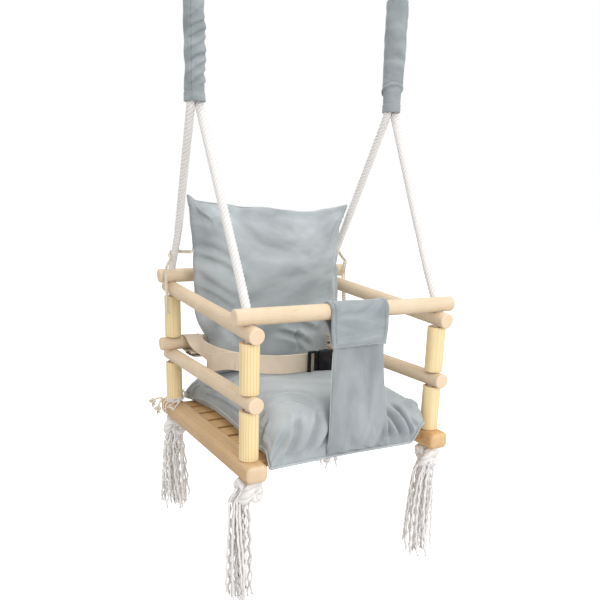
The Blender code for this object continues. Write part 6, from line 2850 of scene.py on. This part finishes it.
@dataclass(frozen=True)
class Ties:
    """The cords that hold the pillow to the ropes and the cushion to the rear posts."""

    run: RopeRun
    pillow: BackPillow
    cotton: Material
    white: Material
    width: float = 0.003
    heavy: float = 0.0048
    play: float = 0.0004
    ease: float = 0.006
    twist: float = 0.0095
    below_bend: float = 0.035
    bar_top: float = 0.24027
    beam_z: float = 0.0042

    def laid(self, width: float, fill: float) -> Lay:
        """How a two-strand tie is laid."""
        return Lay(width, 2, pitch=self.twist, sides=16, step=0.0012, fill=fill)

    def led(self, points: Sequence[Point], radii: Sequence[float] = ()) -> np.ndarray:
        """A tie's line through its points, each inner one rounded."""
        return eased(points, radii or [self.ease] * (len(points) - 2), 0.0012, 12)

    def ball(self, centre: np.ndarray, reach: float, radius: float) -> np.ndarray:
        """Rings of a small overhand knot.

        Args:
            centre: Its middle, in the seat's frame.
            reach: How far its cord swings out.
            radius: Its cord's radius.

        Returns:
            Rows of rings.
        """
        t = np.linspace(0, 2 * math.pi, 90)
        x, y = np.sin(t) + 2 * np.sin(2 * t), np.cos(t) - 2 * np.cos(2 * t)
        loop = np.stack([x, y, -1.3 * np.sin(3 * t)], -1) / 3
        lay = Lay(radius, 2, pitch=0.009, sides=14, step=0.0009)
        return lay.rings(loop[:-2] * reach + centre + DATUM, hint=(0, 0, 1))

    def declared(self, node: str, path: np.ndarray, knot_at: np.ndarray, width: float,
                 spare: Sequence[Object], finish: Material) -> None:
        """Args:
            node: The CAD node it stands for.
            path: Its line, in the seat's frame.
            knot_at: Where its knot sits.
            width: Its thickness.
            spare: The pieces that go with it.
            finish: Its material.
        """
        name, lay = f"cotton_{node}", self.laid(width / 2, 0.72)
        cord = lay.build(name, path + DATUM, finish, hint=(0.3, 0.2, 1))
        knot = lay.bundle(f"{name}_knot", [self.ball(knot_at, 0.0036, 0.0013)], finish)
        placed(cord, "seat", node)
        for piece in (knot, *spare):
            placed(piece, "seat")
        line = resample(path + DATUM, lay.step)

    def pillow_tie(self, word: str) -> None:
        """From the pillow's seam round the rope's rear leg and down over the back top bar, doubled below.

        Args:
            word: Which side.
        """
        side, top, width = SIDES[word], self.bar_top, self.heavy
        way = self.run.leg_way(side, 1)
        centre = np.array((side * HOLE_X, HOLE_Y, self.run.bends[1])) + way * self.below_bend
        out, back = np.array((side, 0.0, 0.0)), unit(np.cross(way, (1.0, 0, 0)))
        reach = self.run.radius + GAP + width / 2 + self.play
        start_z = centre[2] + 0.002
        height = np.array((start_z - self.pillow.centre_z) / (self.pillow.height / 2))
        edge = float(self.pillow.half(height, side))
        start = np.array((side * (edge + width / 2 + GAP / 2), self.pillow.plane_y, start_z))
        points = [start, (start + centre - out * reach) / 2]
        for i in range(9):
            angle = math.radians(180 - 27 * i)
            round_leg = out * reach * math.cos(angle) + back * reach * math.sin(angle)
            points.append(centre + round_leg - way * 0.0012 * i)
        before = HOLE_Y - DOWEL_R - width / 2 - GAP
        x, left_leg = side * (HOLE_X + 0.0165), points[-1][2]
        points += [(x, before - 0.0067, left_leg - 0.012), (x, before - 0.0022, top + 0.004),
                   (x, before - 0.0017, top - 0.016), (x, before - 0.0057, top - 0.042),
                   (x + side * 0.001, before - 0.0072, top - 0.066)]
        path = self.led(points)
        below = smooth_step(centre[2] - path[:, 2], 0.006, 0.022)[:, None]
        second = path + (1 - below) * way * width * 0.80
        second = second + below * np.array((side * width * 0.55, -width * 0.75, 0.0))
        lay = self.laid(width / 2 * 0.9, 0.72)
        strand = lay.build(f"pillow_tie_strand_{word}", second + DATUM, self.cotton, hint=(0.3, 0.2, 1))
        tab_at = start + np.array((-side * 0.0035, -0.0005, 0))
        tab_line = through([tab_at + (0, -0.0022, -0.006), tab_at + (side * 0.001, -0.0030, 0),
                            tab_at + (0, -0.0022, 0.006)], 0.001)
        tab = joined(f"pillow_tie_tab_{word}", [tube(tab_line + DATUM, 0.0013, 10, (1, 0, 0))], self.cotton)
        self.declared(f"pillow_tie_{word}", path, path[-1] + np.array((0, -0.0012, 0.002)), width,
                      [strand, tab], self.cotton)

    def seat_tie(self, word: str) -> None:
        """From the cushion's rear corner round the foot of the rear post, knotted on the beam.

        Args:
            word: Which side.
        """
        side, low = SIDES[word], self.beam_z
        mirrored = np.array((side, 1, 1))
        reach = POST_R + self.width / 2 + GAP + self.play / 2
        start = np.array((side * (0.148 + self.width / 2 - GAP), 0.200 - GAP, 0.012))
        round_post = []
        for i in range(11):
            angle = math.radians(105 - 25 * i)
            round_post.append(np.array((side * (HOLE_X + reach * math.cos(angle)),
                                        HOLE_Y + reach * math.sin(angle), low + self.play * i)))
        end = np.array((side * (HOLE_X + 0.004), HOLE_Y - reach - 0.016, low))
        path = self.led([start, (start + round_post[0]) / 2 + (0, 0.004, -0.002), *round_post, end])
        radii = [0.006, 0.006, 0.005, 0.006, 0.003, 0.003, 0.004]
        second = ((0.1545, 0.176, 0.0105), (0.160, 0.155, 0.0062), (0.1700, 0.1500, 0.0050),
                  (0.184, 0.1555, 0.0042), (0.1930, 0.166, 0.0034), (0.1968, 0.167, -0.004),
                  (0.1970, 0.163, -0.022))
        third = ((0.1525, 0.170, 0.0125), (0.161, 0.149, 0.0068), (0.172, 0.1425, 0.0056),
                 (0.186, 0.1470, 0.0044), (0.1930, 0.153, 0.0034), (0.1968, 0.153, -0.004),
                 (0.1970, 0.151, -0.024))
        loose = [self.led([start + (-side * 0.001, *off), *(mirrored * spot for spot in spots)], radii)
                 for off, spots in (((-0.004, 0.001), second), ((-0.012, 0.002), third))]
        turn = np.linspace(0, 2 * math.pi, 60)
        bow = np.stack([side * (0.1525 + 0.0045 * np.cos(turn)), 0.183 + 0.0085 * np.sin(turn),
                        0.0125 + 0.0035 * np.cos(turn + 0.6)], 1)
        lay = self.laid(self.width / 2 * 0.92, 0.62)
        lines = [lay.rings(line + DATUM, hint=(0.3, 0.2, 1)) for line in (*loose, bow)]
        strand = lay.bundle(f"seat_tie_strand_{word}", lines, self.white)
        self.declared(f"seat_tie_{word}", path, end + np.array((0, -0.001, 0.0022)), self.width,
                      [self.frayed_ends(word), strand], self.white)

    def frayed_ends(self, word: str) -> Object:
        """The seat tie's two loose ends: each a knot with fibres hanging from it.

        Args:
            word: Which side.

        Returns:
            The piece.
        """
        side = SIDES[word]
        rng = np.random.default_rng(90 + side)
        tail = Lay(0.0022, 2, pitch=0.008, sides=14, step=0.0012, fill=0.8)
        hair = Lay(0.0010, 2, pitch=0.004, sides=8, step=0.0012, fill=0.8)
        root = np.array((side * 0.1935, 0.178, 0.0044))
        ends = []
        for x, y, z in ((0.2125, 0.183, -0.0005), (0.2060, 0.172, -0.0135)):
            knot = np.array((side * x, y, z))
            line = rounded(np.array([root, (root + knot) / 2 + (0, 0.002, 0.003), knot]))
            ends += [tail.rings(line + DATUM, hint=(0, 0, 1)), self.ball(knot, 0.0058, 0.0024)]
            for _ in range(9):
                far = knot + rng.normal(size=3) * (0.0028, 0.0038, 0.0020) + (-side * 0.001, -0.003, -0.0085)
                curl = (knot + far) / 2 + rng.normal(size=3) * 0.0012
                ends.append(hair.rings(rounded(np.array([knot, curl, far])) + DATUM, hint=(0, 0, 1)))
        return hair.bundle(f"seat_tie_ends_{word}", ends, self.cotton)

    def build(self) -> None:
        """Builds all four ties."""
        for word in SIDES:
            self.pillow_tie(word)
            self.seat_tie(word)
        LOG.info("pillow ties and seat ties")


# The whole seat


def hardwood(name: str, pale: Colour, dark: Colour, **grain: float) -> Material:
    """A hardwood's material."""
    return Hardwood(name, pale, dark, **grain).build()


def timber(run: RopeRun) -> Timber:
    """The timber in its finishes.

    Args:
        run: The way of the ropes that it hangs on.

    Returns:
        The timber, not yet built.
    """
    rails = [hardwood(f"rail_beech_{i}", (0.80, 0.65, 0.47), (0.68, 0.52, 0.35), seed=1.7 * i)
             for i in range(3)]
    posts = []
    for i, turn in enumerate((0.44, 0.40, 0.6, 1.0, 2.4, 2.9, 1.5, 0.2)):
        dark = (0.80, 0.58, 0.27) if i < 2 else (0.84, 0.64, 0.34)
        pine = Pine(f"post_pine_{i}", (0.93, 0.755, 0.445), dark, spacing=0.0045, turn=turn, seed=0.37 * i)
        posts.append(pine.build())
    slats = [Pine(f"slat_pine_{i}", (0.72, 0.47, 0.235), (0.52, 0.295, 0.115), spacing=0.0035, turn=0.4 * i,
                  seed=1.3 * i).build() for i in range(4)]
    return Timber(
        run, rails,
        rail_end=hardwood("rail_beech_end", (0.85, 0.67, 0.48), (0.76, 0.57, 0.39), streaks=0.4, seed=9.0),
        posts=posts,
        post_end=hardwood("post_pine_end", (0.78, 0.56, 0.33), (0.62, 0.40, 0.22), streaks=0.5, seed=5.0),
        beams=[hardwood("beam_wood_left", (0.68, 0.465, 0.26), (0.52, 0.325, 0.165), streaks=0.7, seed=3.0),
               hardwood("beam_wood_right", (0.74, 0.465, 0.215), (0.58, 0.33, 0.135), streaks=0.7, seed=6.0)],
        beam_ends=[hardwood("beam_wood_end_left", (0.80, 0.62, 0.43), (0.68, 0.49, 0.30), streaks=0.5,
                            seed=4.0),
                   hardwood("beam_wood_end_right", (0.76, 0.53, 0.285), (0.62, 0.39, 0.18), streaks=0.5,
                            seed=7.0)],
        slats=slats,
        # A darker copy of the slat pine for the slats' long sides: painted shade in the gaps.
        slat_side_shade=Pine("slat_pine_side_painted_shade", (0.44, 0.25, 0.11), (0.30, 0.16, 0.065), spacing=0.0035, turn=1.2,
                       seed=2.0).build())


def sewing_thread(name: str, clean: Colour, aged: Colour) -> Material:
    """A sewing thread's material."""
    return Cotton(name, clean, aged, count=2.0, glow=0.0).build()


def main() -> None:
    """Builds the studio and every sub-assembly."""
    logging.basicConfig(level=logging.INFO, format="%(message)s")
    run = RopeRun()
    cotton = Cotton("cotton_rope", (0.84, 0.820, 0.806), (0.83, 0.795, 0.755), relief=0.12).build()
    yarn = Cotton("cotton_yarn", (0.97, 0.940, 0.920), (0.95, 0.895, 0.860), count=10.0, groove_shade=0.06,
                  strands=2.0, twist=77.0).build()
    bight = Cotton("cotton_bight", (0.90, 0.880, 0.865), (0.87, 0.835, 0.795), count=24.0, groove_shade=0.5,
                   strands=3.0, twist=25.0).build()
    cord = Cotton("tie_cord", (0.88, 0.81, 0.68), (0.80, 0.70, 0.54), count=12.0, groove_shade=0.3, strands=2.0,
                  twist=105.0).build()
    # A darker copy of the grey velvet for the sleeves and the panel's loop: painted shade.
    shaded_velvet = Velvet("grey_velvet_painted_shade", (0.40, 0.435, 0.45), (0.25, 0.277, 0.288), scale=16.0).build()
    panel = Velvet("grey_velvet_panel", (0.435, 0.470, 0.484), (0.225, 0.250, 0.260), scale=9.0,
                   stretch=(1.4, 1.4, 0.60)).build()
    # A lighter copy of the grey velvet for the panel's rolled hem edges: painted highlight along the folded
    # edge.
    fold = Velvet("grey_velvet_painted_highlight", (0.60, 0.63, 0.64), (0.46, 0.49, 0.50), scale=30.0).build()
    brushed = Velvet("grey_velvet_pillow", (0.530, 0.568, 0.584), (0.270, 0.297, 0.308), scale=5.0,
                     stretch=(0.8, 1.0, 1.7)).build()
    grey_thread = sewing_thread("sewing_thread", (0.36, 0.40, 0.42), (0.24, 0.27, 0.285))
    tan_thread = sewing_thread("belt_thread", (0.70, 0.58, 0.46), (0.52, 0.41, 0.31))
    webbing = Webbing("beige_webbing", thread=(0.86, 0.735, 0.595)).build()
    black = Moulded("black_plastic", (0.008, 0.008, 0.010), 0.16, shine=0.20).build()
    brown = Moulded("brown_plastic", (0.075, 0.055, 0.060), 0.38).build()
    Studio().build()
    Rigging(run, cotton, bight, yarn, shaded_velvet, BrushedSteel("ring_steel").build()).build()
    timber(run).build()
    pillow = BackPillow(brushed)
    pillow.build()
    SeatCushion(Velvet("grey_velvet").build()).build()
    CrotchPanel(panel, shaded_velvet, grey_thread, fold).build()
    Harness(webbing, black, brown, tan_thread).build()
    Ties(run, pillow, cord, yarn).build()
    bpy.context.view_layer.update()


if __name__ == "__main__":
    main()
